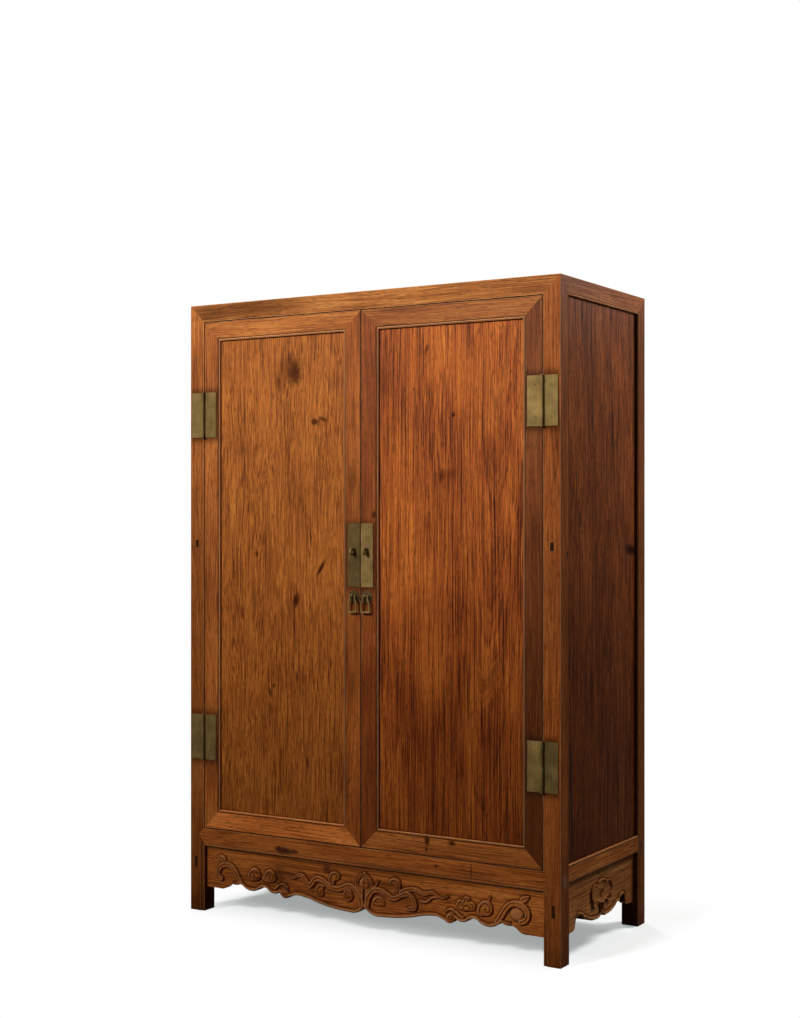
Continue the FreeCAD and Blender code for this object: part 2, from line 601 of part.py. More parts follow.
def aprons():
    """The boards under the bottom rails: scalloped in front and at the sides, plain at the back."""
    across = size("width") / 2 - size("post")
    deep = size("depth") / 2 - size("post")

    def scalloped(name, plane, scallops, half, top):
        start, steps = scallops
        ends = [[(half, APRON_END_LOW)], [(half, top)], [(0, top)]]
        return padded_body(f"{name}_board", plane, [mirrored(start, [*steps, *ends])], "apron_thick")

    front = scalloped("apron_front", "XZ_Plane", FRONT_SCALLOPS, across, size("front_rail_low"))
    place(front, ("0", "apron_set + apron_thick", "0"))
    node(unite("apron_front", [front, joints["apron", -1], joints["apron_tongue", -1]]))
    for side in SIDE:
        name = f"apron_{SIDE[side]}"
        board = scalloped(name, "YZ_Plane", SIDE_SCALLOPS, deep, size("side_rail_low"))
        place(board, (from_side(side, "apron_set", "apron_thick"), "depth / 2", "0"))
        node(unite(name, [board, joints["side_apron", side], joints["side_apron_tongue", side]]))
    back = end_strip("apron_back_board", 1, ("apron_set", "apron_thick"),
                     ("back_apron_low", "front_rail_low - back_apron_low"))
    node(unite("apron_back", [back, joints["apron", 1], joints["apron_tongue", 1]]))


def door(side):
    """A door: a mitred and tenoned frame, beaded inside, round a panel held by three battens."""
    name = f"door_{SIDE[side]}"
    low, high = DOOR_EDGES[side]
    edge_x = {-1: low, 1: high}
    edge_z = {-1: DOOR_LOW, 1: DOOR_HIGH}
    groove_y = ("door_panel_set", "tongue")
    tenon_low = {-1: f"{DOOR_LOW} + door_tenon_set", 1: f"{DOOR_HIGH} - door_tenon_set - door_tenon_wide"}
    rail_tenons = {
        level: box(f"{name}_tenon_{level + 1}",
                   (f"{low} + door_tenon_stop", "door_tenon_back", tenon_low[level]),
                   (f"{high} - {low} - 2 * door_tenon_stop", "door_tenon_thick", "door_tenon_wide"))
        for level in edge_z}
    inside = (f"{low} + stile", f"{high} - {low} - 2 * stile")
    battens = [
        batten(f"{name}_batten_{i}", "x", inside, "y", -1, DOOR_PANEL_BACK,
               f"{DOOR_LOW} + {DOOR_TALL} * {share}")
        for i, share in enumerate(DOOR_BATTENS)]
    group(f"{name}_battens", [made["piece"] for made in battens])
    for edge in edge_x:
        hinged = edge == side
        stile = f"{name}_{'hinge' if hinged else 'meeting'}_stile"
        start = (low if edge < 0 else f"({high} - stile)", "0", DOOR_LOW)
        extent = ("stile", "door_thick", DOOR_TALL)
        bar = eased_box(f"{stile}_bar", start, extent, ("z", edge, -1), "door_arris")
        bar = beaded(stile, bar, start, extent, "z", ("y", -1), ("x", -edge))
        groove_x = f"{low} + stile - groove" if edge < 0 else f"{high} - stile"
        groove = box(f"{stile}_groove", (groove_x, groove_y[0], DOOR_LOW), ("groove", groove_y[1], DOOR_TALL))
        tools = [groove, *rail_tenons.values(), *(made["tenon"] for made in battens)]
        for level in edge_z:
            corner = (edge_x[edge], "0", edge_z[level])
            tools.append(half_space(f"{stile}_mitre_{level + 1}", corner, (-edge, 0, level)))
        tools += joints["tangs", "door", side] if hinged else [joints["lug", side], joints["staple", side]]
        node(carve(stile, bar, tools))
    for level in edge_z:
        rail = f"{name}_{'bottom' if level < 0 else 'top'}_rail"
        start = (low, "0", DOOR_LOW if level < 0 else f"({DOOR_HIGH} - stile)")
        extent = (f"({high} - {low})", "door_thick", "stile")
        bar = eased_box(f"{rail}_bar", start, extent, ("x", -1, level), "door_arris")
        bar = beaded(rail, bar, start, extent, "x", ("y", -1), ("z", -level))
        groove_z = f"{DOOR_LOW} + stile - groove" if level < 0 else f"{DOOR_HIGH} - stile"
        groove_extent = (f"{high} - {low}", groove_y[1], "groove")
        tools = [box(f"{rail}_groove", (low, groove_y[0], groove_z), groove_extent)]
        for edge in edge_x:
            corner = (edge_x[edge], "0", edge_z[level])
            tools.append(half_space(f"{rail}_mitre_{edge + 1}", corner, (edge, 0, -level)))
        node(unite(rail, [carve(f"{rail}_mitred", bar, tools), rail_tenons[level]]))
    boards = []
    for part, thick, past in (("tongue", "tongue", "groove"), ("field", "panel_thick", "(-panel_room)")):
        start = (f"{low} + stile - {past}", "door_panel_set", f"{DOOR_LOW} + stile - {past}")
        wide = f"{high} - {low} - 2 * stile + 2 * {past}"
        tall = f"{DOOR_TALL} - 2 * stile + 2 * {past}"
        boards.append(box(f"{name}_panel_{part}", start, (wide, thick, tall)))
    node(carve(f"{name}_panel", unite(f"{name}_boards", boards), [made["key"] for made in battens]))


def share_fittings():
    """The shanks and tangs that hold the brass to the wood."""
    for side in SIDE:
        centre = f"meeting_shift + ({side}) * lock_offset"
        joints["lug", side] = box(
            f"lug_shank_{SIDE[side]}",
            (f"{centre} - lug_shank_wide / 2", "-plate_thick - lug_root", "lug_level - lug_shank_tall / 2"),
            ("lug_shank_wide", "plate_thick + lug_root + door_thick", "lug_shank_tall"))
        ring_back = "((staple_ring + staple_bore) / 2 - pull_stand)"
        joints["staple", side] = box(
            f"staple_shank_{SIDE[side]}",
            (f"{centre} - staple_shank / 2", ring_back, "pull_level - staple_shank / 2"),
            ("staple_shank", f"door_thick - {ring_back}", "staple_shank"))
        axis = from_side(side, "(post + door_gap / 2)")
        for owner, toward in (("post", side), ("door", -side)):
            joints["tangs", owner, side] = [
                rod(f"tang_{owner}_{SIDE[side]}_{level}_{i}",
                    (f"{axis} + ({toward}) * tang_set", "-leaf_thick / 2", f"{level} + hinge_tall * {share}"),
                    "y", "tang", "tang_long")
                for level in HINGE_LEVELS for i, share in enumerate(TANG_LEVELS)]


def hinge_leaf(name, axis, toward, level, knuckles, tangs):
    """A hinge leaf: a plate on the wood's face, webs to its own knuckles, a bored barrel and two tangs."""
    plate_x = f"{axis} + leaf_clear" if toward > 0 else f"{axis} - leaf_wide"
    web_x = axis if toward > 0 else f"{axis} - leaf_clear"
    plate_extent = ("leaf_wide - leaf_clear", "leaf_thick", "hinge_tall")
    solid = [box(f"{name}_plate", (plate_x, "-leaf_thick", level), plate_extent)]
    for i in knuckles:
        low = f"{level} + hinge_tall * {KNUCKLE_SPLITS[i]} + knuckle_gap / 2"
        tall = f"hinge_tall * {KNUCKLE_SPLITS[i + 1] - KNUCKLE_SPLITS[i]:.2f} - knuckle_gap"
        solid.append(box(f"{name}_web_{i}", (web_x, "-leaf_thick", low), ("leaf_clear", "leaf_thick", tall)))
        solid.append(rod(f"{name}_knuckle_{i}", (axis, "-hinge_stand", low), "z", "barrel", tall))
    bore = rod(f"{name}_bore", (axis, "-hinge_stand", level), "z", "pin_bore", "hinge_tall")
    return unite(f"{name}_whole", [carve(f"{name}_bored", unite(f"{name}_solid", solid), [bore]), *tangs])


def hinges():
    """Two butt hinges a side: the posts' leaves, the doors' leaves and the headed pins."""
    pins = []
    for side in SIDE:
        axis = from_side(side, "(post + door_gap / 2)")
        for owner, toward, knuckles in (("post", side, (0, 2)), ("door", -side, (1, 3))):
            tangs = joints["tangs", owner, side]
            per_leaf = len(TANG_LEVELS)
            group(f"hinge_{owner}_leaves_{SIDE[side]}", [
                hinge_leaf(f"leaf_{owner}_{SIDE[side]}_{level}", axis, toward, level, knuckles,
                           tangs[i * per_leaf:(i + 1) * per_leaf])
                for i, level in enumerate(HINGE_LEVELS)])
        for level in HINGE_LEVELS:
            name = f"pin_{SIDE[side]}_{level}"
            foot = (axis, "-hinge_stand", f"{level} - pin_head_thick")
            head = (axis, "-hinge_stand", f"{level} + hinge_tall")
            pins.append(unite(name, [
                rod(f"{name}_shaft", foot, "z", "pin", "hinge_tall + 2 * pin_head_thick"),
                rod(f"{name}_foot", foot, "z", "pin_head", "pin_head_thick"),
                rod(f"{name}_head", head, "z", "pin_head", "pin_head_thick")]))
    group("hinge_pins", pins)


def lock(side):
    """A lock plate and the rounded, pierced lug that stands out through it."""
    inner = "(meeting_gap / 2 + knuckle_gap)"
    plate_x = f"meeting_shift - {inner} - plate_wide" if side < 0 else f"meeting_shift + {inner}"
    plate = box(f"plate_{SIDE[side]}_blank", (plate_x, "-plate_thick", "plate_low"),
                ("plate_wide", "plate_thick", "plate_tall"))
    node(carve(f"lock_plate_{SIDE[side]}", plate, [joints["lug", side]]))
    radius = size("lug_round")
    eye = -(size("proud") - radius)
    root = -size("plate_thick")
    edge = outline((root, radius), [[(eye, radius)], [(eye - radius, 0), (eye, -radius)],
                                    [(root, -radius)], [(root, radius)]])
    hole = [Part.Circle(FreeCAD.Vector(eye, 0, 0), FreeCAD.Vector(0, 0, 1), size("lug_eye"))]
    body = padded_body(f"lug_{SIDE[side]}_body", "YZ_Plane", [edge, hole], "lug_thick", symmetric=True)
    place(body, (f"meeting_shift + ({side}) * lock_offset", "0", "lug_level"))
    node(unite(f"lock_lug_{SIDE[side]}", [body, joints["lug", side]]))


def rosette(side):
    """The shallow domed disc behind a pull, turned about its own middle and pierced for the staple."""
    name = f"pull_rosette_{SIDE[side]}"
    body = doc.addObject("PartDesign::Body", f"{name}_body")
    sketch = body.newObject("Sketcher::SketchObject", f"{name}_sketch")
    sketch.AttachmentSupport = [(next(f for f in body.Origin.OriginFeatures if f.Role == "XY_Plane"), "")]
    sketch.MapMode = "FlatFace"
    radius, edge, rise = size("rosette"), size("rosette_edge"), size("rosette_rise")
    crown = (radius / 2, -(edge + 3 * rise) / 4)
    for piece in outline((0, 0), [[(radius, 0)], [(radius, -edge)], [crown, (0, -rise)], [(0, 0)]]):
        sketch.addGeometry(piece)
    turned = body.newObject("PartDesign::Revolution", f"{name}_turned")
    turned.Profile = sketch
    turned.ReferenceAxis = (sketch, ["V_Axis"])
    turned.Angle = 360
    body.Tip = turned
    place(body, (f"meeting_shift + ({side}) * lock_offset", "0", "pull_level - rosette_drop"))
    node(carve(name, body, [joints["staple", side]]))


def pull(side):
    """A pull: its staple, whose ring stands out from the rosette, and the open drop that swings in it."""
    centre = f"meeting_shift + ({side}) * lock_offset"
    ring_start = (f"{centre} - staple_wide / 2", "-pull_stand", "pull_level")
    name = f"pull_staple_{SIDE[side]}"
    ring = rod(f"{name}_ring", ring_start, "x", "staple_ring", "staple_wide")
    bore = rod(f"{name}_bore", ring_start, "x", "staple_bore", "staple_wide")
    node(unite(name, [carve(f"{name}_eye", ring, [bore]), joints["staple", side]]))
    lines = [mirrored(*PULL_OUTER), mirrored(*PULL_OPENING)]
    drop = padded_body(f"pull_drop_{SIDE[side]}", "XZ_Plane", lines, "pull_thick", symmetric=True)
    node(drop, (centre, "-pull_stand", "pull_level"))


def check_and_write():
    """Stop on any object that failed, then write each finished piece to its own file."""
    doc.recompute()
    failed = [thing.Name for thing in doc.Objects if {"Invalid", "Error"} & set(thing.State)]
    for thing in nodes:
        shape = thing.Shape
        if shape.isNull() or not shape.isValid():
            failed.append(thing.Label)
        wanted = len(thing.Links) if thing.TypeId == "Part::Compound" else 1
        if len(shape.Solids) != wanted:
            failed.append(f"{thing.Label} has {len(shape.Solids)} solids")
    if failed:
        raise RuntimeError(f"these did not come out: {failed}")
    os.makedirs("parts", exist_ok=True)
    for thing in nodes:
        thing.Shape.exportStep(f"parts/{thing.Label}.step")
    print(len(nodes), "pieces written")


share_joints()
share_fittings()
frame_battens()
for side in SIDE:
    for end in END:
        post(side, end)
for end in END:
    top_rail_long(end)
    bottom_rail_long(end)
for side in SIDE:
    top_rail_short(side)
    bottom_rail_short(side)
    side_panel(side)
shelf()
top_and_floor()
back_panel("upper", SHELF_TOP, UNDER_TOP, keys("back")[1])
back_panel("lower", FRONT_RAIL_TOP, "shelf_low", keys("back")[0])
aprons()
for side in SIDE:
    door(side)
    lock(side)
    rosette(side)
    pull(side)
hinges()
check_and_write()
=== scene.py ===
"""Finishes of a square-corner cabinet: carved aprons, waxed rosewood and old brass over its fixed CAD frame.

Lengths are in millimetres, apart from what Blender itself takes in metres.
"""

import math
from collections import namedtuple

import bpy
import numpy as np
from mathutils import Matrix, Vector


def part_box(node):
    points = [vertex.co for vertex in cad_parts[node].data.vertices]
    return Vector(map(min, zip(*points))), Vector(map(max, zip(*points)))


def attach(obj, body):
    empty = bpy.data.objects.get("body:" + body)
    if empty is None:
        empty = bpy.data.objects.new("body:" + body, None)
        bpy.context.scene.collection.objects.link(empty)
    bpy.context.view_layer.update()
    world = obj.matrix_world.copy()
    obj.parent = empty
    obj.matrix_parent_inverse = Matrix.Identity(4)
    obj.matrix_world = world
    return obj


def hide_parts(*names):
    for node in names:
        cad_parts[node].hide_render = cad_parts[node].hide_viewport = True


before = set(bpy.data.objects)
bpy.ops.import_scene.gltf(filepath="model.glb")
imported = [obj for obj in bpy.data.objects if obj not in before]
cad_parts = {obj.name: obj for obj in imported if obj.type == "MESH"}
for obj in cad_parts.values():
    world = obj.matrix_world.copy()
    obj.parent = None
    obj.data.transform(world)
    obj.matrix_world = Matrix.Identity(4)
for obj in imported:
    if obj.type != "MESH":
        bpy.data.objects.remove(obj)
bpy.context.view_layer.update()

bl_info = {
    "name": "Square-corner cabinet",
    "version": (1, 0, 0),
    "blender": (4, 5, 0),
    "location": "View3D > Sidebar > Cabinet",
    "description": "Carves the aprons and finishes the woods and brasses of a square-corner cabinet",
    "category": "Object",
}

MM = 0.001
SIDES = {"left": -1, "right": 1}

# Colours and nodes


def linear(code):
    """An sRGB hex colour as linear red, green and blue."""
    parts = [int(code[i:i + 2], 16) / 255 for i in (0, 2, 4)]
    return tuple(c / 12.92 if c <= 0.04045 else ((c + 0.055) / 1.055) ** 2.4 for c in parts)


def rgba(colour):
    """A colour with full alpha, as a colour socket takes it."""
    return (*colour[:3], 1.0)


def add(tree, kind, inputs=None, **settings):
    """Adds a node with its settings, and sets each of its inputs to a value or links it to an output."""
    made = tree.nodes.new("ShaderNode" + kind)
    for key, value in settings.items():
        if key == "stops":
            stops = made.color_ramp.elements
            while len(stops) < len(value):
                stops.new(0.5)
            for stop, (position, colour) in zip(stops, value):
                stop.position, stop.color = position, rgba(colour)
        else:
            setattr(made, key, value)
    for socket, value in (inputs or {}).items():
        if isinstance(value, bpy.types.NodeSocket):
            tree.links.new(value, made.inputs[socket])
        else:
            made.inputs[socket].default_value = value
    return made


def empty_material(name):
    """A material with nothing in it yet, and its node tree."""
    material = bpy.data.materials.new(name)
    material.use_nodes = True
    material.node_tree.nodes.clear()
    return material, material.node_tree


def finish_node(node, material):
    """Puts a material on a CAD node."""
    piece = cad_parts[node]
    if not piece.material_slots:
        piece.data.materials.append(material)
    for slot in piece.material_slots:
        slot.material = material


# Waxed rosewood

# Each wood: the colour of its dark growth lines, of its body, and of its bright fibres.
WOODS = {
    "frame": ("5e2f12", "a65a26", "c87c3c"),
    "left_panel": ("5e2c10", "b06024", "d27e34"),
    "right_panel": ("4a1c0a", "b45822", "dc7c30"),
    "outer_panel": ("3f190a", "95491c", "b5622d"),
    "inner": ("4e2c14", "845228", "9c6a3a"),
}
WOOD_WORDS = {"line": "dark growth lines", "body": "body", "bright": "bright fibres"}

# How a wood grew and was finished: millimetres between its growth lines, how far they sway, where the heart
# of the tree lay from the board's middle, how long its fibres are, how strongly fibres, growth, dark lines,
# pores and broad clouds show, and how strongly it shines.
Figure = namedtuple("Figure", "spacing sway heart streak fibres growth lines pores clouds shine")
FIGURES = {
    "frame": Figure(8, 30, (70, 160), 200, 0.55, 0.15, 0.12, 0.45, 0.25, 0.006),
    "left_panel": Figure(6, 50, (60, 140), 140, 0.75, 0.15, 0.2, 0.55, 0.16, 0.03),
    "right_panel": Figure(3.6, 24, (130, 150), 300, 0.75, 0.3, 0.5, 0.5, 0.3, 0.03),
    "outer_panel": Figure(8, 40, (70, 90), 300, 1.2, 0.45, 0.6, 0.7, 0.3, 0.005),
    "inner": Figure(10, 40, (40, 120), 150, 0.6, 0.3, 0.25, 0.4, 0.3, 0.01),
}
# Boards of the front are rubbed to a higher shine.
FRONT_SHINE = 0.045
# A painted sheen pales the upper part a little, towards this colour, more and more between two heights in
# metres.
PAINTED_SHEEN = linear("b4a898")
PAINTED_SHEEN_SHARE = 0.03
SHEEN_FROM, SHEEN_TO = 0.6, 1.6
# End grain goes nearly black, but less so in these rails, by the start of a node's name.
END_GRAIN_SHARE = 0.95
END_GRAIN = {"top_rail": 0.3, "bottom_rail": 0.6}
# Crests, beads and edges, rubbed bare and waxed, with a painted highlight laid on them, and how strongly
# edges and beads show it.
WORN_AND_HIGHLIT = linear("ffbe84")
EDGE_WEAR_AND_HIGHLIGHT, BEAD_WEAR_AND_HIGHLIGHT = 0.3, 0.6
# The heart is not quite in line with a board, so growth lines leave its face as long arches.
HEART_TILT = 0.04
# A stretch so long that a pattern takes no notice of that direction.
ALONG_NOTHING = 1e5
# Cells of the wood's patterns, in millimetres across and along the grain: the sway of the tree, clouds of
# tone, and pores, which are really under 0.3 mm wide and are drawn about 2 mm wide so that they show.
SWAY_CELL, CLOUD_CELL, PORE_CELL = (120, 700), (70, 260), (1.8, 22)
# Fibres too are drawn wider than they are, so that they show.
FIBRE_WIDTH = 1.7
# What makes a board's figure its own.
SEED_STEPS = (3.7, 5.3, 7.1)
SEED_BY_NAME = 0.37
# Where the tones of a wood's dark lines, body and bright fibres lie in its patterns.
TONE_STOPS = (0.42, 0.55, 0.68)
# How dark grime, painted shade and pores are against the growth lines, and how dark end grain is against
# them.
GRIME_AND_SHADE_TONE, END_TONE = 0.45, 0.4
# How strongly grime shows round plates, and grime with painted shade in corners, in carved boards' corners
# and on the edges of doors.
PLATE_GRIME, CORNER_GRIME_AND_SHADE, CARVED_CORNER_GRIME_AND_SHADE, DOOR_EDGE_GRIME_AND_SHADE = 0.7, 0.8, 0.3, 0.75
# How far grime and painted shade reach from a corner, and wear and painted highlight from an edge.
CORNER_REACH, EDGE_REACH = 10, 4
# Smoke pushes the darkenings' outlines about: its cell, and its push as a share of one's half size up to a
# limit.
SMOKE_CELL, SMOKE_PUSH, SMOKE_LIMIT = 7, 0.9, 30

# A darkening, a knot or stain or a broad one: its centre and half sizes across and up the face, its strength,
# and how far it leans in degrees.
Darkening = namedtuple("Darkening", "across up wide high strength lean", defaults=(0,))
# Broad ones darken a board over its lower part or its middle; the broad one on the right side panel is
# painted shade, darker towards the bottom.
DARKENINGS = {
    "door_left_panel": (
        Darkening(-230, 1466, 40, 40, 0.6), Darkening(-214, 1448, 20, 36, 0.8), Darkening(-268, 1425, 13, 24, 0.5),
        Darkening(-152, 1321, 15, 10, 0.9), Darkening(-126, 1327, 17, 7, 0.75, 20), Darkening(-132, 940, 7, 30, 1.0, 32),
        Darkening(-212, 852, 11, 22, 1.0, 10), Darkening(-339, 974, 6, 9, 0.9), Darkening(-297, 610, 6, 20, 0.8, -20),
        Darkening(-283, 626, 7, 7, 0.8), Darkening(-175, 430, 6, 17, 0.7, -15), Darkening(-230, 250, 400, 420, 0.15),
    ),
    "door_right_panel": (
        Darkening(187, 1491, 6, 17, 0.7, 20), Darkening(264, 1325, 6, 8, 0.9), Darkening(246, 1180, 40, 14, 0.4),
        Darkening(228, 1168, 8, 14, 0.5), Darkening(150, 1393, 4, 6, 0.7), Darkening(330, 280, 500, 620, 0.38),
    ),
    # Painted shade: the side panel darker towards the bottom.
    "side_panel_right": (Darkening(0, 150, 2000, 800, 0.4), Darkening(190, 987, 46, 16, 1.0)),
    "door_left_meeting_stile": (
        Darkening(-32, 1167, 14, 50, 0.5), Darkening(-62.6, 1052, 2.5, 5, 0.9), Darkening(-25, 860, 20, 34, 0.4),
        Darkening(-30, 640, 14, 40, 0.3), Darkening(-40, 395, 5, 14, 0.6, 25), Darkening(-32, 900, 90, 380, 0.28),
    ),
    "door_right_meeting_stile": (
        Darkening(35, 1078, 7, 12, 0.9), Darkening(14, 862, 20, 34, 0.5), Darkening(20, 300, 90, 400, 0.25),
    ),
    "door_right_hinge_stile": (Darkening(490, 350, 120, 750, 0.52),),
    "top_rail_front": (
        Darkening(-330, 1634, 170, 18, 0.4), Darkening(-490, 1626, 60, 24, 0.25), Darkening(-420, 1626, 330, 80, 0.25),
    ),
    "post_front_left": (Darkening(-535, 0, 60, 60, 0.5), Darkening(-535, 450, 300, 900, 0.28)),
    "post_front_right": (Darkening(535, 0, 60, 60, 0.35), Darkening(535, 850, 60, 170, 0.28)),
    "post_back_right": (Darkening(535, 0, 60, 40, 0.2), Darkening(535, 1100, 200, 800, 0.33)),
    "bottom_rail_front": (
        Darkening(-243, 192, 32, 12, 1.0), Darkening(-264, 197, 13, 9, 1.0), Darkening(-212, 194, 16, 8, 0.9),
        Darkening(317, 205, 2, 28, 1.0), Darkening(218, 205, 6, 5, 0.9),
    ),
    "door_right_bottom_rail": (
        Darkening(192, 266, 9, 15, 1.0), Darkening(263, 266, 12, 8, 1.0), Darkening(190, 244, 4, 10, 0.8),
    ),
    "apron_front": (Darkening(-267, 124, 22, 28, 0.7), Darkening(-117, 157, 16, 15, 0.8), Darkening(-246, 98, 6, 16, 0.6)),
}
# Grime round the brass plates of a node: the middle of each plate and the half sizes of the darkened wood.
HINGE_LEVELS = (475, 1350)
HINGE_X = 512.75
GRIME = {
    "door_left_meeting_stile": [(-25, 972, 34, 104)],
    "door_right_meeting_stile": [(14, 972, 34, 104)],
}
for side, sign in SIDES.items():
    GRIME[f"post_front_{side}"] = [(sign * 536, level, 23, 86) for level in HINGE_LEVELS]
    GRIME[f"door_{side}_hinge_stile"] = [(sign * 489.5, level, 34, 86) for level in HINGE_LEVELS]


def cells(across, along, grain):
    """The Mapping scale that makes a pattern's cell that many millimetres across and along the grain."""
    scale = [1000 / across] * 3
    scale["XYZ".index(grain)] = 1000 / along
    return scale


def facing_side(place, node):
    """A place across, behind and up a board's face, as x, y and z: a side panel lies along y."""
    return (place[1], place[0], place[2]) if node.startswith("side_panel") else place


def rosewood(node, wood, grain, seed, carved=False):
    """Waxed rosewood, planed and rubbed: dark growth lines in a warm body, fine pores, worn edges with a
    painted highlight, grime with painted shade in corners, and a painted sheen on its upper part.

    Growth lines are uneven bands of the distance from the heart of the tree, which sways along the grain, so
    they run the length of a board and close in arches where it was cut beside the heart.
    """
    # A board's tint is partly its own tone and partly painted light.
    line, body, bright = wood_tones(wood, TINTS_AND_PAINTED_LIGHT.get(node, (1, 1, 1)))
    dark = [c * GRIME_AND_SHADE_TONE for c in line]
    figure = FIGURES[wood]
    shine = FRONT_SHINE if node in FRONT_BOARDS else figure.shine
    axis = "XYZ".index(grain)
    shift = [seed * step for step in SEED_STEPS]
    material, tree = empty_material(f"waxed_rosewood_{node}")
    place = add(tree, "TexCoord").outputs

    def grain_pattern(vector, cell, detail):
        """Streaks with cells of that size across and along the grain, shifted by the board's seed."""
        at = add(tree, "Mapping", {"Vector": vector, "Location": shift, "Scale": cells(*cell, grain)})
        return add(tree, "TexNoise", {"Vector": at.outputs[0], "Scale": 1.0, "Detail": detail})

    def endwise(direction):
        """How nearly a direction lies along the grain, 0 to 1."""
        dot = add(tree, "VectorMath", {0: direction, 1: [float(i == axis) for i in range(3)]},
                  operation="DOT_PRODUCT")
        return add(tree, "Math", {0: dot.outputs["Value"]}, operation="ABSOLUTE").outputs[0]

    wave = grain_pattern(place["Object"], SWAY_CELL, 2.0)
    bent = add(tree, "VectorMath", {0: wave.outputs["Color"], 1: [figure.sway * MM] * 3, 2: place["Object"]},
               operation="MULTIPLY_ADD").outputs[0]
    # The distance from the heart, with nothing of the length of the board in it.
    heart, squash, tilt = list(np.mean(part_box(node), axis=0)), [1.0] * 3, [HEART_TILT] * 3
    squash[axis], tilt[axis] = ALONG_NOTHING, 0.0
    for across, offset in zip([i for i in range(3) if i != axis], figure.heart):
        heart[across] += offset * MM
    about = add(tree, "Mapping", {"Vector": bent, "Location": heart, "Rotation": tilt, "Scale": squash},
                vector_type="TEXTURE")
    radius = add(tree, "VectorMath", {0: about.outputs[0]}, operation="LENGTH")
    growth = add(tree, "TexNoise", {"W": radius.outputs["Value"], "Scale": 1000 / figure.spacing,
                                    "Detail": 3.0, "Roughness": 0.6}, noise_dimensions="1D")
    fibre = grain_pattern(bent, (FIBRE_WIDTH, figure.streak), 2.0)
    cloud = grain_pattern(bent, CLOUD_CELL, 1.0)
    tone = TONE_STOPS[1] - (figure.growth + figure.fibres + figure.clouds) / 2
    for pattern, weight in ((growth, figure.growth), (fibre, figure.fibres), (cloud, figure.clouds)):
        summed = add(tree, "Math", {0: pattern.outputs["Fac"], 1: weight, 2: tone}, operation="MULTIPLY_ADD")
        tone = summed.outputs[0]
    tones = list(zip(TONE_STOPS, (line, body, bright)))
    shade = add(tree, "ValToRGB", {"Fac": tone}, stops=tones).outputs[0]
    # What lies over the body of the wood, from the first to the last: how far it shows, and its colour.
    layers = []
    # Late wood: the darkest of the growth lines.
    late = add(tree, "MapRange", {"Value": growth.outputs["Fac"], "From Min": 0.53, "From Max": 0.68,
                                  "To Max": figure.lines})
    layers.append((late.outputs[0], line))
    # Pores: short dark dashes.
    pore = grain_pattern(bent, PORE_CELL, 1.0)
    dashes = add(tree, "MapRange", {"Value": pore.outputs["Fac"], "From Min": 0.55, "From Max": 0.63,
                                    "To Max": figure.pores})
    layers.append((dashes.outputs[0], dark))
    # End grain drinks the wax and goes dark.
    drunk = next((share for start, share in END_GRAIN.items() if node.startswith(start)), END_GRAIN_SHARE)
    ends = add(tree, "MapRange", {"Value": endwise(place["Normal"]), "From Min": 0.8, "From Max": 0.98,
                                  "To Max": drunk})
    layers.append((ends.outputs[0], [c * END_TONE for c in dark]))
    # Painted sheen: the upper part of a board is paled a little towards the sheen colour.
    height = add(tree, "SeparateXYZ", {0: place["Object"]})
    fade = add(tree, "MapRange", {"Value": height.outputs[2], "From Min": SHEEN_FROM, "From Max": SHEEN_TO,
                                  "To Max": PAINTED_SHEEN_SHARE})
    layers.append((fade.outputs[0], PAINTED_SHEEN))
    # Knots, stains and broad darkenings, among them the side panel's painted shade, have smoky outlines.
    smoke = add(tree, "TexNoise", {"Vector": place["Object"], "Scale": 1000 / SMOKE_CELL, "Detail": 4.0})
    for darkening in DARKENINGS.get(node, ()):
        push = SMOKE_PUSH * min(darkening.wide, darkening.high, SMOKE_LIMIT) * MM
        ragged = add(tree, "VectorMath", {0: smoke.outputs["Color"], 1: [push] * 3, 2: place["Object"]},
                     operation="MULTIPLY_ADD")
        near = add(tree, "Mapping", {
            "Vector": ragged.outputs[0], "Rotation": (0.0, math.radians(darkening.lean), 0.0),
            "Location": facing_side((darkening.across * MM + push / 2, 0.0, darkening.up * MM + push / 2), node),
            "Scale": facing_side((darkening.wide * MM, ALONG_NOTHING, darkening.high * MM), node),
        }, vector_type="TEXTURE")
        reach = add(tree, "VectorMath", {0: near.outputs[0]}, operation="LENGTH")
        stain = add(tree, "MapRange", {"Value": reach.outputs["Value"], "From Min": 1.25, "From Max": 0.3,
                                       "To Max": darkening.strength}, interpolation_type="SMOOTHSTEP")
        layers.append((stain.outputs[0], dark))
    # Grime gathers round the plates, on the front face alone.
    split = add(tree, "SeparateXYZ", {0: place["Normal"]})
    before = add(tree, "MapRange", {"Value": split.outputs[1], "From Min": -0.3, "From Max": -0.8,
                                    "To Max": PLATE_GRIME})
    for across, up, wide, high in GRIME.get(node, ()):
        near = add(tree, "Mapping", {"Vector": place["Object"], "Location": (across * MM, 0.0, up * MM),
                                     "Scale": (wide * MM, ALONG_NOTHING, high * MM)}, vector_type="TEXTURE")
        near = add(tree, "VectorMath", {0: near.outputs[0]}, operation="ABSOLUTE")
        split = add(tree, "SeparateXYZ", {0: near.outputs[0]})
        reach = add(tree, "Math", {0: split.outputs[0], 1: split.outputs[2]}, operation="MAXIMUM")
        stain = add(tree, "MapRange", {"Value": reach.outputs[0], "From Min": 1.0, "From Max": 0.7,
                                       "To Max": before.outputs[0]}, interpolation_type="SMOOTHSTEP")
        layers.append((stain.outputs[0], dark))
    # Old wax and dust darken the corners, with painted shade: the more enclosed a point, the darker.
    corner = add(tree, "AmbientOcclusion", {"Distance": CORNER_REACH * MM}, samples=8)
    grime = add(tree, "MapRange", {"Value": corner.outputs["AO"], "From Min": 0.88, "From Max": 0.4,
                                   "To Max": CARVED_CORNER_GRIME_AND_SHADE if carved else CORNER_GRIME_AND_SHADE})
    layers.append((grime.outputs[0], dark))
    if carved:
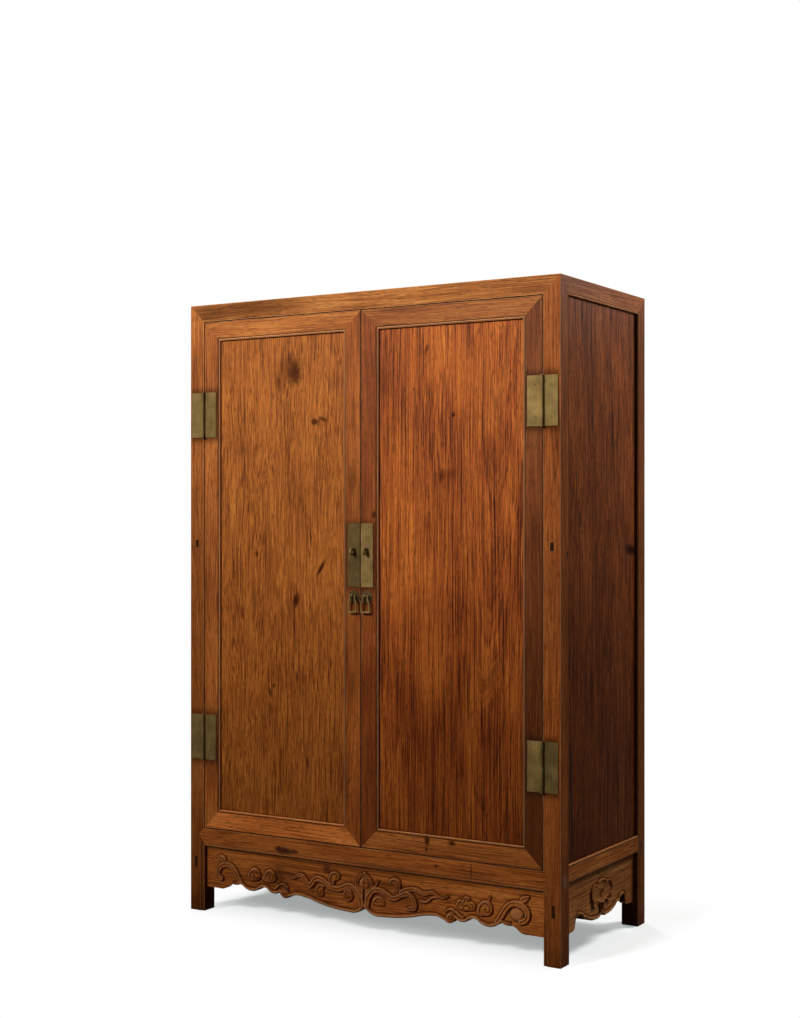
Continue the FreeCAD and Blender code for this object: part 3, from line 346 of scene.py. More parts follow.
        # Grime with painted shade in the cuts beside the carving, painted shadow under the rail and beside
        # the posts, and crests rubbed bright with a painted highlight, from the mesh's own measures.
        cut = add(tree, "Attribute", attribute_name="grime")
        layers.append((cut.outputs["Fac"], dark))
        rubbed = add(tree, "Attribute", attribute_name="rubbed").outputs["Fac"]
    else:
        # Long edges are rubbed bright, with a painted highlight: there a rounded normal turns away from the
        # face's own, and not along the grain, as it does at a mitre. Beads and mouldings, whose faces lie
        # askew, are rubbed and painted bright too.
        rounded = add(tree, "Bevel", {"Radius": EDGE_REACH * MM}, samples=6)
        flat = add(tree, "NewGeometry")
        turned = add(tree, "VectorMath", {0: rounded.outputs[0], 1: flat.outputs["True Normal"]},
                     operation="DOT_PRODUCT")
        edge = add(tree, "MapRange", {"Value": turned.outputs["Value"], "From Min": 0.99, "From Max": 0.8,
                                      "To Max": DOOR_EDGE_GRIME_AND_SHADE if node in DOOR_GRAIN else EDGE_WEAR_AND_HIGHLIGHT})
        own = add(tree, "VectorTransform", {0: rounded.outputs[0]}, vector_type="NORMAL",
                  convert_from="WORLD", convert_to="OBJECT")
        lengthwise = add(tree, "MapRange", {"Value": endwise(own.outputs[0]), "From Min": 0.25,
                                            "From Max": 0.1})
        edge = add(tree, "Math", {0: edge.outputs[0], 1: lengthwise.outputs[0]}, operation="MULTIPLY")
        square = add(tree, "VectorMath", {0: place["Normal"]}, operation="ABSOLUTE")
        square = add(tree, "SeparateXYZ", {0: square.outputs[0]})
        squarest = add(tree, "Math", {0: square.outputs[0], 1: square.outputs[1]}, operation="MAXIMUM")
        squarest = add(tree, "Math", {0: squarest.outputs[0], 1: square.outputs[2]}, operation="MAXIMUM")
        rubbed = add(tree, "MapRange", {"Value": squarest.outputs[0], "From Min": 0.97, "From Max": 0.8,
                                        "To Max": BEAD_WEAR_AND_HIGHLIGHT}).outputs[0]
        if node in DOOR_GRAIN:
            # A door's arrises hold grime instead, with painted shade that darkens them beside its narrow
            # gaps.
            layers.append((edge.outputs[0], dark))
        else:
            rubbed = add(tree, "Math", {0: edge.outputs[0], 1: rubbed}, operation="MAXIMUM").outputs[0]
    # Worn edges, beads and crests, with their painted highlight.
    layers.append((rubbed, WORN_AND_HIGHLIT))
    for share, over in layers:
        # Inputs 6 and 7 and output 2 are the Mix node's colours.
        shade = add(tree, "Mix", {0: share, 6: shade, 7: rgba(over)}, data_type="RGBA").outputs[2]
    rough = add(tree, "MapRange", {"Value": fibre.outputs["Fac"], "From Min": 0.3, "From Max": 0.7,
                                   "To Min": 0.5, "To Max": 0.36})
    bump = add(tree, "Bump", {"Height": fibre.outputs["Fac"], "Strength": 0.25, "Distance": 0.0006})
    surface = add(tree, "BsdfPrincipled", {
        "Base Color": shade, "Roughness": rough.outputs[0], "Normal": bump.outputs[0], "IOR": 1.5,
        "Specular IOR Level": shine,
    })
    add(tree, "OutputMaterial", {"Surface": surface.outputs[0]})
    return material


def wood_tones(wood, tint):
    """The three colours of a wood from the settings, times a board's tint, which is partly painted light."""
    woods = bpy.context.scene.cabinet_woods
    return [[c * t for c, t in zip(getattr(woods, f"{wood}_{tone}"), tint)] for tone in WOOD_WORDS]


# Old brass

# Patches of tarnish by their width, and scratches by their width and length, drawn coarser than they are.
TARNISH_CELL = 40
SCRATCH_CELL = (1.5, 60)
# The heights in metres between which the tone goes over from the lower plates' to the upper ones'.
LOW_PLATES, HIGH_PLATES = 0.45, 1.35


def old_brass(name, colour, tarnish, gloss=0.62, low_tone=-0.12):
    """Old sheet brass, hammered flat and rubbed: dull olive gold with brown patches and upright scratches.

    The plates near the floor are darker or lighter than the upper ones, by the low tone given.
    """
    material, tree = empty_material(name)
    place = add(tree, "TexCoord").outputs
    patch = add(tree, "TexNoise", {"Vector": place["Object"], "Scale": 1000 / TARNISH_CELL, "Detail": 4.0,
                                   "Roughness": 0.55})
    scratch_at = add(tree, "Mapping", {"Vector": place["Object"], "Scale": cells(*SCRATCH_CELL, "Z")})
    scratch = add(tree, "TexNoise", {"Vector": scratch_at.outputs[0], "Scale": 1.0, "Detail": 3.0})
    height = add(tree, "SeparateXYZ", {0: place["Object"]})
    low = add(tree, "MapRange", {"Value": height.outputs[2], "From Min": LOW_PLATES, "From Max": HIGH_PLATES,
                                 "To Min": low_tone, "To Max": 0.0})
    worn = add(tree, "Math", {0: scratch.outputs["Fac"], 1: 0.3, 2: low.outputs[0]}, operation="MULTIPLY_ADD")
    worn = add(tree, "Math", {0: patch.outputs["Fac"], 1: 0.7, 2: worn.outputs[0]}, operation="MULTIPLY_ADD")
    shade = add(tree, "ValToRGB", {"Fac": worn.outputs[0]},
                stops=((0.25, tarnish), (0.5, colour), (0.8, [min(1.0, c * 1.6) for c in colour])))
    rough = add(tree, "MapRange", {"Value": worn.outputs[0], "From Min": 0.3, "From Max": 0.7,
                                   "To Min": gloss + 0.1, "To Max": gloss - 0.05})
    bump = add(tree, "Bump", {"Height": worn.outputs[0], "Strength": 0.2, "Distance": 0.0004})
    surface = add(tree, "BsdfPrincipled", {"Base Color": shade.outputs[0], "Roughness": rough.outputs[0],
                                           "Normal": bump.outputs[0], "Metallic": 0.15,
                                           "Specular IOR Level": 0.03})
    add(tree, "OutputMaterial", {"Surface": surface.outputs[0]})
    return material


# Carving

# The aprons' lower edges, from the middle out: a first point, then arcs by a middle and an end point.
FRONT_SCALLOPS = ((0, 72.4), (
    ((16, 59.6), (50, 55)), ((110, 60), (160, 70)), ((190, 76), (212, 77.5)), ((228, 73), (237, 69)),
    ((251, 65), (262, 70.5)), ((266.5, 74), (267, 79)), ((287, 72.5), (303, 78)), ((319, 85), (332, 80)),
    ((359, 70.7), (386, 79)), ((391, 82), (394.5, 86)), ((411, 80.5), (424.5, 81.5)), ((433, 79), (441, 73)),
    ((452, 66.5), (468, 65.5)),
))
SIDE_SCALLOPS = ((0, 79), (
    ((11, 71), (33, 69.5)), ((62, 72.5), (86, 80.5)), ((98, 86), (110, 85)), ((114, 94), (127, 98)),
    ((142, 95), (147, 85)), ((153, 73.5), (170, 67.5)),
))
APRON_END_LOW = 65

# A carved line: half its width at its start and end, its height, how many ridges it has, and its points
# along the apron and up from the floor.
Scroll = namedtuple("Scroll", "start end height ridges points")
# A carved swelling: its height, the width of its rounded rim, its outline, and how far its crown is rubbed
# bright, with a painted highlight. One that isn't rubbed so has a rolled rim round a dished middle, with a
# painted highlight on its upper left.
Swelling = namedtuple("Swelling", "height rim points rubbed", defaults=(0,))
# Where across its rim a rolled swelling is highest, and how far its middle is dished against its height.
ROLLED, DISHED = 0.6, 0.15

FRONT_SCROLLS = (
    # left end: open scroll
    Scroll(7.5, 8.5, 5, 2, ((-461, 93), (-469, 98), (-471, 108), (-468, 119), (-460, 127), (-449, 131.5),
                            (-437, 132), (-425, 128), (-416, 120), (-409, 110), (-403, 100), (-396, 91))),
    # the arch over the left volute
    Scroll(3.2, 4, 4.4, 1, ((-241, 95), (-250, 101), (-262, 101), (-272, 95), (-282, 86))),
    # left ribbon, from the tip of its flame to the middle cusp
    Scroll(2.5, 8, 4.4, 2, ((-244, 128), (-233, 124), (-222, 122.5), (-211, 128), (-200, 132.5), (-190, 129),
                            (-182, 119))),
    Scroll(8, 8.5, 5.2, 2, ((-190, 129), (-182, 119), (-175, 111), (-169, 109), (-163, 114), (-157, 123),
                            (-149, 129), (-139, 130), (-128, 126.5), (-117, 120), (-106, 114), (-94, 110.5),
                            (-82, 110.5), (-70, 113.5), (-59, 119), (-48, 122.5), (-38, 121.5), (-28, 115.5),
                            (-19.5, 106.5), (-13, 96), (-9.5, 86), (-8, 77))),
    # the middle bud's two leaves, stem and side leaf
    Scroll(6, 4, 4.8, 2, ((-8, 114), (-18, 120), (-23, 131), (-20, 142), (-12, 150), (-4, 156), (0, 160))),
    Scroll(6, 4, 4.8, 2, ((8, 114), (17, 119), (22, 130), (19, 142), (12, 150), (5, 156), (2, 160))),
    Scroll(3.6, 3.6, 4.2, 1, ((-6.5, 118), (-6.5, 100), (-6.5, 78))),
    Scroll(3.6, 3.6, 4.2, 1, ((5.5, 118), (5.5, 100), (5.5, 78))),
    Scroll(4, 2.4, 4, 1, ((22, 122), (30, 128), (37, 135), (42, 143))),
    # right ribbon, from the middle cusp to its hook, and its flame
    Scroll(8.5, 6.5, 5.2, 2, ((7, 77), (9, 89), (13, 101), (20, 112), (30, 119.5), (42, 122.5), (54, 120.5),
                              (66, 115), (77, 109.5), (88, 107), (99, 110), (110, 116.5), (122, 121.5),
                              (134, 121.5), (144, 115), (150.5, 104), (152, 93), (146, 88), (134, 86.5))),
    Scroll(7, 7, 4.8, 2, ((104, 117), (114, 126), (127, 132.5), (141, 136), (155, 136), (167, 131.5))),
    Scroll(7, 2.5, 4.6, 2, ((155, 136), (167, 131.5), (178, 129), (190, 132.5), (202, 135.5), (212, 130.5),
                            (222, 126.5), (233, 125.5), (247, 130.5))),
    Scroll(3.4, 5, 4.2, 1, ((217, 125), (206, 124), (197, 120), (190, 113.5), (181, 109.5), (167, 110))),
    # the arch over the right volute, and the hooked curl's tip
    Scroll(3.2, 4, 4.4, 1, ((241, 93), (248, 99.5), (258, 101), (268, 96.5), (278, 90), (289, 84))),
    Scroll(3.6, 1.8, 4, 1, ((357, 133), (363, 137), (366, 144))),
    # right end: scroll round a raised disc
    Scroll(8.5, 7.5, 5.2, 2, ((386, 87), (393, 97), (400, 108), (407, 119.5), (415, 129), (426, 135.5),
                              (439, 137.5), (452, 134.5), (463, 127), (468, 116), (466, 105), (459, 97),
                              (450, 93.5))),
)
FRONT_SWELLINGS = (
    # leaves at the two ends
    Swelling(4.4, 7, ((-455, 135), (-466, 139), (-476, 146), (-473, 154), (-462, 158), (-450, 155),
                      (-444, 147), (-447, 139))),
    Swelling(4.4, 7, ((444, 142), (446, 151), (453, 157), (463, 160), (473, 159), (470, 150), (464, 143),
                      (455, 139))),
    # two cloud curls on the left
    Swelling(4.8, 7, ((-374, 100), (-372, 113), (-366, 125), (-357, 133), (-346, 135.5), (-336, 131),
                      (-329, 122), (-329, 111), (-335, 103), (-345, 99), (-360, 97))),
    Swelling(4.8, 7, ((-322, 101), (-320, 115), (-314, 128), (-305, 136), (-296, 137.5), (-287, 133),
                      (-280, 125), (-277, 114), (-282, 104), (-292, 100), (-307, 98))),
    # volutes on the edge
    Swelling(5.4, 10, ((-250, 64), (-260, 69), (-264, 79), (-260, 89), (-250, 93.5), (-240, 89), (-236, 79),
                       (-240, 69))),
    Swelling(5.4, 10, ((254, 65), (264, 70), (268, 81), (264, 91), (254, 95.5), (244, 91), (240, 81),
                       (244, 70))),
    # curls of the left ribbon: above it, and two under it
    Swelling(5, 7, ((-108, 112), (-110, 126), (-111, 140), (-106, 150), (-96, 155), (-85, 154.5), (-76, 149),
                    (-74, 140), (-79, 133), (-86, 131), (-90, 126), (-92, 118), (-96, 112))),
    Swelling(4.6, 6, ((-122, 114), (-134, 118), (-146, 113), (-152, 102), (-150, 91), (-142, 84), (-131, 84),
                      (-125, 91), (-127, 100), (-124, 107))),
    Swelling(4.6, 6, ((-37, 104), (-34, 95), (-38, 86), (-48, 81), (-58, 85), (-65, 96), (-63, 108),
                      (-55, 115), (-45, 115), (-39, 110))),
    # the bud
    Swelling(5.4, 10, ((0, 117), (11, 121), (16, 132), (12, 144), (1, 153), (-11, 145), (-16, 132),
                       (-11, 121))),
    # curls of the right ribbon: above it, and one under it
    Swelling(5, 7, ((97, 112), (106, 117), (110, 130), (110, 145), (105, 156), (94, 161), (82, 158),
                    (74, 151), (73, 143), (80, 138), (88, 139), (93, 133), (94, 122))),
    Swelling(3.4, 7, ((62, 84), (60, 96), (52, 106), (38, 107), (26, 99), (24, 89), (32, 83), (45, 81))),
    # three-lobed cloud and hooked curl
    Swelling(4.8, 7, ((275, 104), (270, 114), (273, 126), (282, 130.5), (288, 128.5), (292, 136), (301, 139),
                      (309, 134.5), (311, 128), (319, 126), (325, 117), (322, 107), (312, 103), (290, 101))),
    Swelling(4.8, 7, ((328, 98), (328, 112), (334, 125), (344, 133), (355, 135), (366, 130), (372, 119),
                      (371, 106), (363, 98), (350, 95), (337, 94))),
    # disc of the right end
    Swelling(6, 15, ((438, 94), (450, 98.5), (457, 111), (450, 123), (438, 128), (426, 123), (419, 111),
                     (426, 98.5)), 0.3),
)
# Lines cut into the swellings: the spirals of the curls and the veins of the leaves.
FRONT_GROOVES = (
    ((-470, 150), (-457, 147), (-450, 138)),
    ((-364, 109), (-362, 117), (-355, 124.5), (-345, 126), (-337.5, 120), (-337, 111.5), (-343, 106),
     (-350, 109), (-349, 115)),
    ((-313, 109), (-311, 118), (-305, 126), (-297, 128), (-288.5, 122), (-286, 113), (-291, 106.5),
     (-298, 109), (-297, 116)),
    ((-236, 83), (-242, 88), (-250, 88.5), (-256.5, 84), (-257, 76.5), (-251, 72.5), (-246, 77)),
    ((-101, 117), (-103, 131), (-101, 142), (-94, 147.5), (-85, 146.5), (-82, 140.5), (-87, 138)),
    ((-127, 109), (-136, 111), (-144, 104.5), (-145, 95.5), (-139, 90), (-133, 92), (-134, 98)),
    ((-41, 97), (-46, 89.5), (-54, 91), (-57.5, 100), (-53, 108), (-46.5, 107), (-46, 101)),
    ((0, 121), (0, 134), (0, 147)),
    ((101, 119), (103, 133), (101, 146), (93, 152.5), (84, 150.5), (81, 145.5), (86, 144)),
    ((53, 93), (47, 100), (38, 99), (33, 92), (39, 89)),
    ((241, 85), (247, 90.5), (256, 90.5), (261, 85), (260, 77.5), (254, 74.5), (250, 79)),
    ((279, 109), (278.5, 118), (284, 122.5), (289, 118), (286, 113)),
    ((293, 122), (296, 131), (303, 132), (306, 125)),
    ((311, 120.5), (317, 118), (317, 111), (312, 110)),
    ((290, 107), (294, 113.5), (301, 115.5), (308, 112), (309, 106)),
    ((337, 103), (338, 115), (345, 124), (355, 126.5), (363, 121), (364.5, 111), (358.5, 104.5), (352, 108),
     (354, 114)),
    ((450, 147), (458, 151), (467, 155)),
)
# The side aprons' medallion, either side of the middle at y 10: half its outline, the ring in it, and the
# stem that rises to it from the lower edge.
SIDE_MIDDLE = 10
MEDALLION = ((0, 163), (18, 160), (26, 153), (38, 156), (52, 150), (60, 139), (59, 126), (50, 119),
             (54, 110), (46, 103), (35, 104), (28, 110), (16, 112), (7, 107))
RING_RADIUS, RING_UP, RING_POINTS = 8, 134, 13
STEM = ((6, 84), (7, 96), (12, 106), (22, 114), (34, 117), (43, 112))

# How far round a line the grid is worked, and a distance past all of it.
LINE_REACH, FAR = 10.0, 99.0
# The direction that crests are painted brightest towards, along an apron and up: a painted highlight on the
# side the key light falls on.
UPPER_LEFT = (-0.44, 0.9)
# A scroll's two ridges: where across its half width they lie, their own half width, and the valley between.
RIDGE_AT, RIDGE_HALF, VALLEY_HALF, VALLEY_HEIGHT = 0.58, 0.42, 0.6, 0.5
# The crest is the topmost fourteenth of a rise.
CREST = 14
# The bead is worked in runs, up to a height over the edge, and fades out at its ends. Its middle lies this
# many of its half widths in from the edge.
BEAD_RUN, BEAD_UP, BEAD_FADE, BEAD_SET = 40.0, 24, 25, 1.1
# How far the ground is cut back beside the carving, how far grime with painted shade reaches there, and how
# far painted shadow reaches under the rail and beside the posts.
GROUND_REACH, CUT_REACH, RAIL_REACH, POST_REACH = 3.0, 2.6, 8, 4
# How strongly grime with painted shade shows in cuts, painted shadow beside the frame and grime on what is
# raised, and wear with a painted highlight on the crests.
CUT_GRIME_AND_SHADE, PAINTED_FRAME_SHADOW, RAISED_GRIME, CREST_WEAR_AND_HIGHLIGHT = 0.92, 0.9, 0.15, 0.6


def smooth_line(points, spacing=0.8):
    """Points along a Catmull-Rom curve: between two of the given points it is the cubic that leaves each of
    them in the direction of the chord between its neighbours."""
    knots = np.array(points, float)
    knots = np.vstack([2 * knots[0] - knots[1], knots, 2 * knots[-1] - knots[-2]])
    a, b, c, d = knots[:-3], knots[1:-2], knots[2:-1], knots[3:]
    count = int(np.ceil(np.linalg.norm(c - b, axis=1).max() / spacing)) + 1
    t = np.linspace(0, 1, count, endpoint=False)[None, :, None]
    a, b, c, d = (k[:, None, :] for k in (a, b, c, d))
    cubic = b + 0.5 * t * (c - a + t * (2 * a - 5 * b + 4 * c - d + t * (3 * (b - c) + d - a)))
    return np.vstack([cubic.reshape(-1, 2), knots[-2:-1]])


def arc_line(start, middle, end, count=24):
    """Points on the circle through three points, from the first to the last."""
    (ax, az), (bx, bz), (cx, cz) = start, middle, end
    twice = 2 * (ax * (bz - cz) + bx * (cz - az) + cx * (az - bz))
    aa, bb, cc = ax * ax + az * az, bx * bx + bz * bz, cx * cx + cz * cz
    centre = np.array([(aa * (bz - cz) + bb * (cz - az) + cc * (az - bz)) / twice,
                       (aa * (cx - bx) + bb * (ax - cx) + cc * (bx - ax)) / twice])
    angles = [math.atan2(p[1] - centre[1], p[0] - centre[0]) for p in (start, middle, end)]
    turn = [(angle - angles[0]) % (2 * math.pi) for angle in angles]
    sweep = turn[2] if turn[1] < turn[2] else turn[2] - 2 * math.pi
    spread = angles[0] + np.linspace(0, sweep, count)
    radius = math.hypot(ax - centre[0], az - centre[1])
    return centre + radius * np.stack([np.cos(spread), np.sin(spread)], 1)


def scalloped_edge(scallops, reach):
    """An apron's lower edge from one end to the other: the arcs of its right half, mirrored."""
    last, arcs = scallops
    half = [np.array([last], float)]
    for middle, end in arcs:
        half.append(arc_line(last, middle, end)[1:])
        last = end
    half.append(np.array([(reach, APRON_END_LOW)], float))
    right = np.vstack(half)
    return np.vstack([right[:0:-1] * (-1, 1), right])


def nearest(line, along, up):
    """For each point the distance to the nearest point of a line, how far along the line that is, 0 to 1, and
    how far the point lies to the upper left of it, -1 to 1."""
    gap = (along[:, None] - line[:, 0]) ** 2 + (up[:, None] - line[:, 1]) ** 2
    which = gap.argmin(1)
    gap = np.sqrt(gap[np.arange(len(which)), which])
    lean = UPPER_LEFT[1] * (up - line[which, 1]) + UPPER_LEFT[0] * (along - line[which, 0])
    return gap, which / (len(line) - 1), lean / (gap + 0.5)


def inside(outline, along, up):
    """Which points lie in a closed outline: a ray from such a point crosses it an odd number of times."""
    x0, z0 = outline.T
    x1, z1 = np.roll(outline, -1, axis=0).T
    spans = (z0 > up[:, None]) != (z1 > up[:, None])
    crossing = x0 + (up[:, None] - z0) * (x1 - x0) / np.where(z1 == z0, 1e-9, z1 - z0)
    return (spans & (along[:, None] < crossing)).sum(1) % 2 == 1


def dome(share):
    """A quarter-round rise: 0 at share 0, 1 at share 1 and beyond."""
    return np.sqrt(1 - (1 - np.clip(share, 0, 1)) ** 2)


def crest_of(rise):
    """The topmost part of a rise, 0 to 1."""
    return np.clip(rise * CREST - (CREST - 1), 0, 1)


def carve_relief(along, up, edge, scrolls, swellings, grooves, carving, bead_span):
    """The height of the carving over an apron's face, at each point of a grid.

    A scroll's section is one half-round ridge, or two side by side, its width running evenly from its start
    to its end. A swelling rises from its outline by a quarter round, to a dome or to a rolled rim round a
    dished middle, and a groove is cut into it with a bell section. A bead follows the lower edge. The ground
    is cut back beside them all, less and less over about 3 mm. With the height come two measures for the
    wood: grime with painted shade in the cuts and painted shadow along the rail and posts, and wear with a
    painted highlight on the crests. Scrolls and rolled rims get the painted highlight most on their upper
    left, where the key light falls.
    """
    height = np.zeros(along.shape)
    clear = np.full(along.shape, FAR)
    crest = np.zeros(along.shape)

    def around(line):
        """Which points of the grid lie within reach of a line."""
        low, high = line.min(0) - LINE_REACH, line.max(0) + LINE_REACH
        return (along > low[0]) & (along < high[0]) & (up > low[1]) & (up < high[1])

    def put(window, rise, top, gap):
        """Raises the points in a window that aren't higher yet, and notes how clear of it the rest are."""
        crest[window] = np.where(rise > height[window], top, crest[window])
        height[window] = np.maximum(height[window], rise)
        clear[window] = np.minimum(clear[window], gap)

    for scroll in scrolls:
        line = smooth_line(scroll.points)
        window = around(line)
        gap, where, lean = nearest(line, along[window], up[window])
        half = scroll.start + (scroll.end - scroll.start) * where
        rise = dome(1 - gap / half)
        if scroll.ridges == 2:
            valley = VALLEY_HEIGHT * (gap < half * VALLEY_HALF)
            rise = np.maximum(dome(1 - np.abs(gap / half - RIDGE_AT) / RIDGE_HALF), valley)
        # Wear with a painted highlight on the crest, brightest on its upper left, where the key light falls.
        top = crest_of(rise) * np.clip(0.5 + 0.7 * lean, 0.2, 1)
        put(window, scroll.height * rise, top, np.maximum(gap - half, 0))
    for swelling in swellings:
        outline = smooth_line((*swelling.points, swelling.points[0]))[:-1]
        window = around(outline)
        gap, _, lean = nearest(outline, along[window], up[window])
        within = inside(outline, along[window], up[window])
        share = gap / swelling.rim
        if swelling.rubbed:
            rise = np.where(within, dome(share), 0)
            top = swelling.rubbed * rise
        else:
            rise = np.where(within, dome(share / ROLLED) - DISHED * np.clip(share - ROLLED, 0, 1), 0)
            # Wear with a painted highlight on the rolled rim's upper left, where the key light falls.
            top = np.where(within, np.clip(1 - np.abs(share - ROLLED) / 0.4, 0, 1) * np.clip(-lean, 0, 1), 0)
        put(window, swelling.height * rise, top, np.where(within, 0, gap))
    half = carving.bead_width / MM / 2
    floor = np.interp(along, edge[:, 0], edge[:, 1])
    for start in np.arange(-bead_span, bead_span, BEAD_RUN):
        run = edge[(edge[:, 0] > start - BEAD_RUN / 2) & (edge[:, 0] < start + BEAD_RUN * 1.5)]
        window = (along >= start) & (along < start + BEAD_RUN) & (up < floor + BEAD_UP)
        gap = nearest(run, along[window], up[window])[0]
        fade = np.clip((bead_span - np.abs(along[window])) / BEAD_FADE, 0, 1)
        rise = dome(1 - np.abs(gap - half * BEAD_SET) / half) * fade
        put(window, carving.bead_height / MM * rise, crest_of(rise),
            np.where(fade > 0, np.maximum(gap - half * (BEAD_SET + 1), 0), FAR))
    beside = np.exp(-(clear / GROUND_REACH) ** 2)
    groove = np.zeros(along.shape)
    for points in grooves:
        line = smooth_line(points)
        window = around(line)
        gap = nearest(line, along[window], up[window])[0]
        groove[window] = np.maximum(groove[window], np.exp(-(gap * MM / carving.groove_width * 2) ** 2))
    # Grime with painted shade in the cuts beside the carving and in the grooves.
    cuts = np.exp(-(clear / CUT_REACH) ** 2) * np.clip(1 - height / CUT_REACH, 0, 1)
    grime = CUT_GRIME_AND_SHADE * np.maximum(cuts, groove)
    # Painted shadow under the rail and beside the posts.
    under_rail = np.exp(-((up[:, -1:] - up) / RAIL_REACH) ** 2)
    beside_post = np.exp(-((np.abs(along).max() - np.abs(along)) / POST_REACH) ** 2)
    grime = np.maximum(grime, PAINTED_FRAME_SHADOW * np.maximum(under_rail, beside_post))
    grime = np.maximum(grime, RAISED_GRIME * np.clip(height, 0, 1))
    # Wear with a painted highlight on the crests, none in the grooves.
    rubbed = CREST_WEAR_AND_HIGHLIGHT * crest * (1 - groove)
    height = height * carving.boldness - (carving.ground_cut * beside + carving.groove_depth * groove) / MM
    return height, {"grime": grime, "rubbed": rubbed}


def apron_grid(edge, top, reach, columns, rows):
    """A board's face as a grid: columns along it, and rows from its scalloped lower edge up to its top."""
    along = np.linspace(-reach, reach, columns)
    low = np.interp(along, edge[:, 0], edge[:, 1])
    share = np.linspace(0, 1, rows)
    return np.repeat(along[:, None], rows, 1), low[:, None] + (top - low[:, None]) * share


# Faces that meet at a larger angle than this have a sharp edge between them.
SHARP_DEGREES = 50


def make_piece(name, points, faces, material):
    """A smooth piece of that material, with its place in its mesh."""
    mesh = bpy.data.meshes.new(name)
    mesh.from_pydata(points, [], faces)
    mesh.polygons.foreach_set("use_smooth", np.ones(len(faces), bool))
    mesh.set_sharp_from_angle(angle=math.radians(SHARP_DEGREES))
    mesh.materials.append(material)
    piece = bpy.data.objects.new(name, mesh)
    bpy.context.scene.collection.objects.link(piece)
    return piece


# An apron's tenons: how high they are, how far behind its face, how far the front ones reach, how far they
# lap into the board, and the faces of a block by its eight corners.
TENON_UP = (117, 147)
TENON_OUT = (-14, -3)
FRONT_STUB = 12
TENON_LAP = 1
BLOCK_FACES = ((0, 1, 3, 2), (4, 6, 7, 5), (0, 4, 5, 1), (2, 3, 7, 6), (0, 2, 6, 4), (1, 5, 7, 3))
# Columns and rows of the carved faces, how far from the middle their beads reach, and seeds of their figure.
FRONT_GRID, SIDE_GRID = (934, 96), (380, 110)
FRONT_BEAD, SIDE_BEAD = 424, 152
FRONT_SEED, SIDE_SEED = 40.3, 46.1


def carved_board(name, along, up, out, measures, back, tenons, to_row, turned, material):
    """A board carved on its face: each column of the grid is closed round the back by two more points, the
    columns are joined into a tube, and the two ends are capped. A block at each end is the tenon, from the
    first to the second place along the board."""
    columns, rows = along.shape
    along = np.hstack([along, along[:, -1:], along[:, :1]])
    up = np.hstack([up, up[:, -1:], up[:, :1]])
    out = np.hstack([out, np.full((columns, 2), back)])
    points = to_row(along, out, up).reshape(-1, 3) * MM
    ring = rows + 2
    i, j = np.meshgrid(np.arange(columns - 1), np.arange(ring), indexing="ij")
    k = (j + 1) % ring
    quads = np.stack([i * ring + j, (i + 1) * ring + j, (i + 1) * ring + k, i * ring + k], -1).reshape(-1, 4)
    caps = [np.arange(ring), np.arange(ring)[::-1] + (columns - 1) * ring]
    faces = [*quads.tolist(), *[cap.tolist() for cap in caps]]
    for ends in tenons:
        a, u, o = (side.ravel() for side in np.meshgrid(ends, TENON_UP, TENON_OUT, indexing="ij"))
        faces += (np.array(BLOCK_FACES) + len(points)).tolist()
        points = np.vstack([points, to_row(a, o, u) * MM])
    if turned:
        faces = [face[::-1] for face in faces]
    piece = make_piece(name, points, faces, material)
    for measure, values in measures.items():
        spread = np.zeros(len(points))
        spread[:columns * ring] = np.hstack([values, np.zeros((columns, 2))]).ravel()
        piece.data.attributes.new(measure, "FLOAT", "POINT").data.foreach_set("value", spread)
    return piece


# Settings


class CABINET_PG_woods(bpy.types.PropertyGroup):
    """Colours of the woods."""

    __annotations__ = {
        f"{wood}_{tone}": bpy.props.FloatVectorProperty(
            name=f"{wood.replace('_', ' ').capitalize()} {tone}",
            description=f"Colour of the {words} of the {wood.replace('_', ' ')} wood",
            subtype="COLOR", size=3, min=0.0, max=1.0, default=linear(code))
        for wood, codes in WOODS.items()
        for (tone, words), code in zip(WOOD_WORDS.items(), codes)
    }


class CABINET_PG_brasses(bpy.types.PropertyGroup):
    """Colours of the brasses and the size of their nails."""

    brass: bpy.props.FloatVectorProperty(
        name="Brass", description="Colour of rubbed brass on the hinges and lock plates",
        subtype="COLOR", size=3, min=0.0, max=1.0, default=linear("8f7444"))
    tarnish: bpy.props.FloatVectorProperty(
        name="Tarnish", description="Colour of tarnished brass",
        subtype="COLOR", size=3, min=0.0, max=1.0, default=linear("64502c"))
    bronze: bpy.props.FloatVectorProperty(
        name="Bronze", description="Colour of the dark pulls",
        subtype="COLOR", size=3, min=0.0, max=1.0, default=linear("5a472b"))
    nail_width: bpy.props.FloatProperty(
        name="Nail width", description="Width of a nail's head", unit="LENGTH", min=0.001, max=0.008,
        default=0.0034)


class CABINET_PG_carving(bpy.types.PropertyGroup):
    """Sizes of the aprons' carving."""

    bead_width: bpy.props.FloatProperty(
        name="Bead width", description="Width of the bead along an apron's lower edge", unit="LENGTH",
        min=0.002, max=0.02, default=0.0085)
    bead_height: bpy.props.FloatProperty(
        name="Bead height", description="How far the bead stands over the face", unit="LENGTH",
        min=0.0, max=0.008, default=0.0042)
    ground_cut: bpy.props.FloatProperty(
        name="Ground cut", description="How far the ground is cut back beside the carving", unit="LENGTH",
        min=0.0, max=0.004, default=0.0012)
    groove_width: bpy.props.FloatProperty(
        name="Groove width", description="Width of the lines cut into the curls", unit="LENGTH",
        min=0.001, max=0.006, default=0.0034)
    groove_depth: bpy.props.FloatProperty(
        name="Groove depth", description="Depth of the lines cut into the curls", unit="LENGTH",
        min=0.0, max=0.004, default=0.0024)
    boldness: bpy.props.FloatProperty(
        name="Boldness", description="Height of the carving, as a share of its full height", subtype="FACTOR",
        min=0.0, max=1.5, default=1.2)


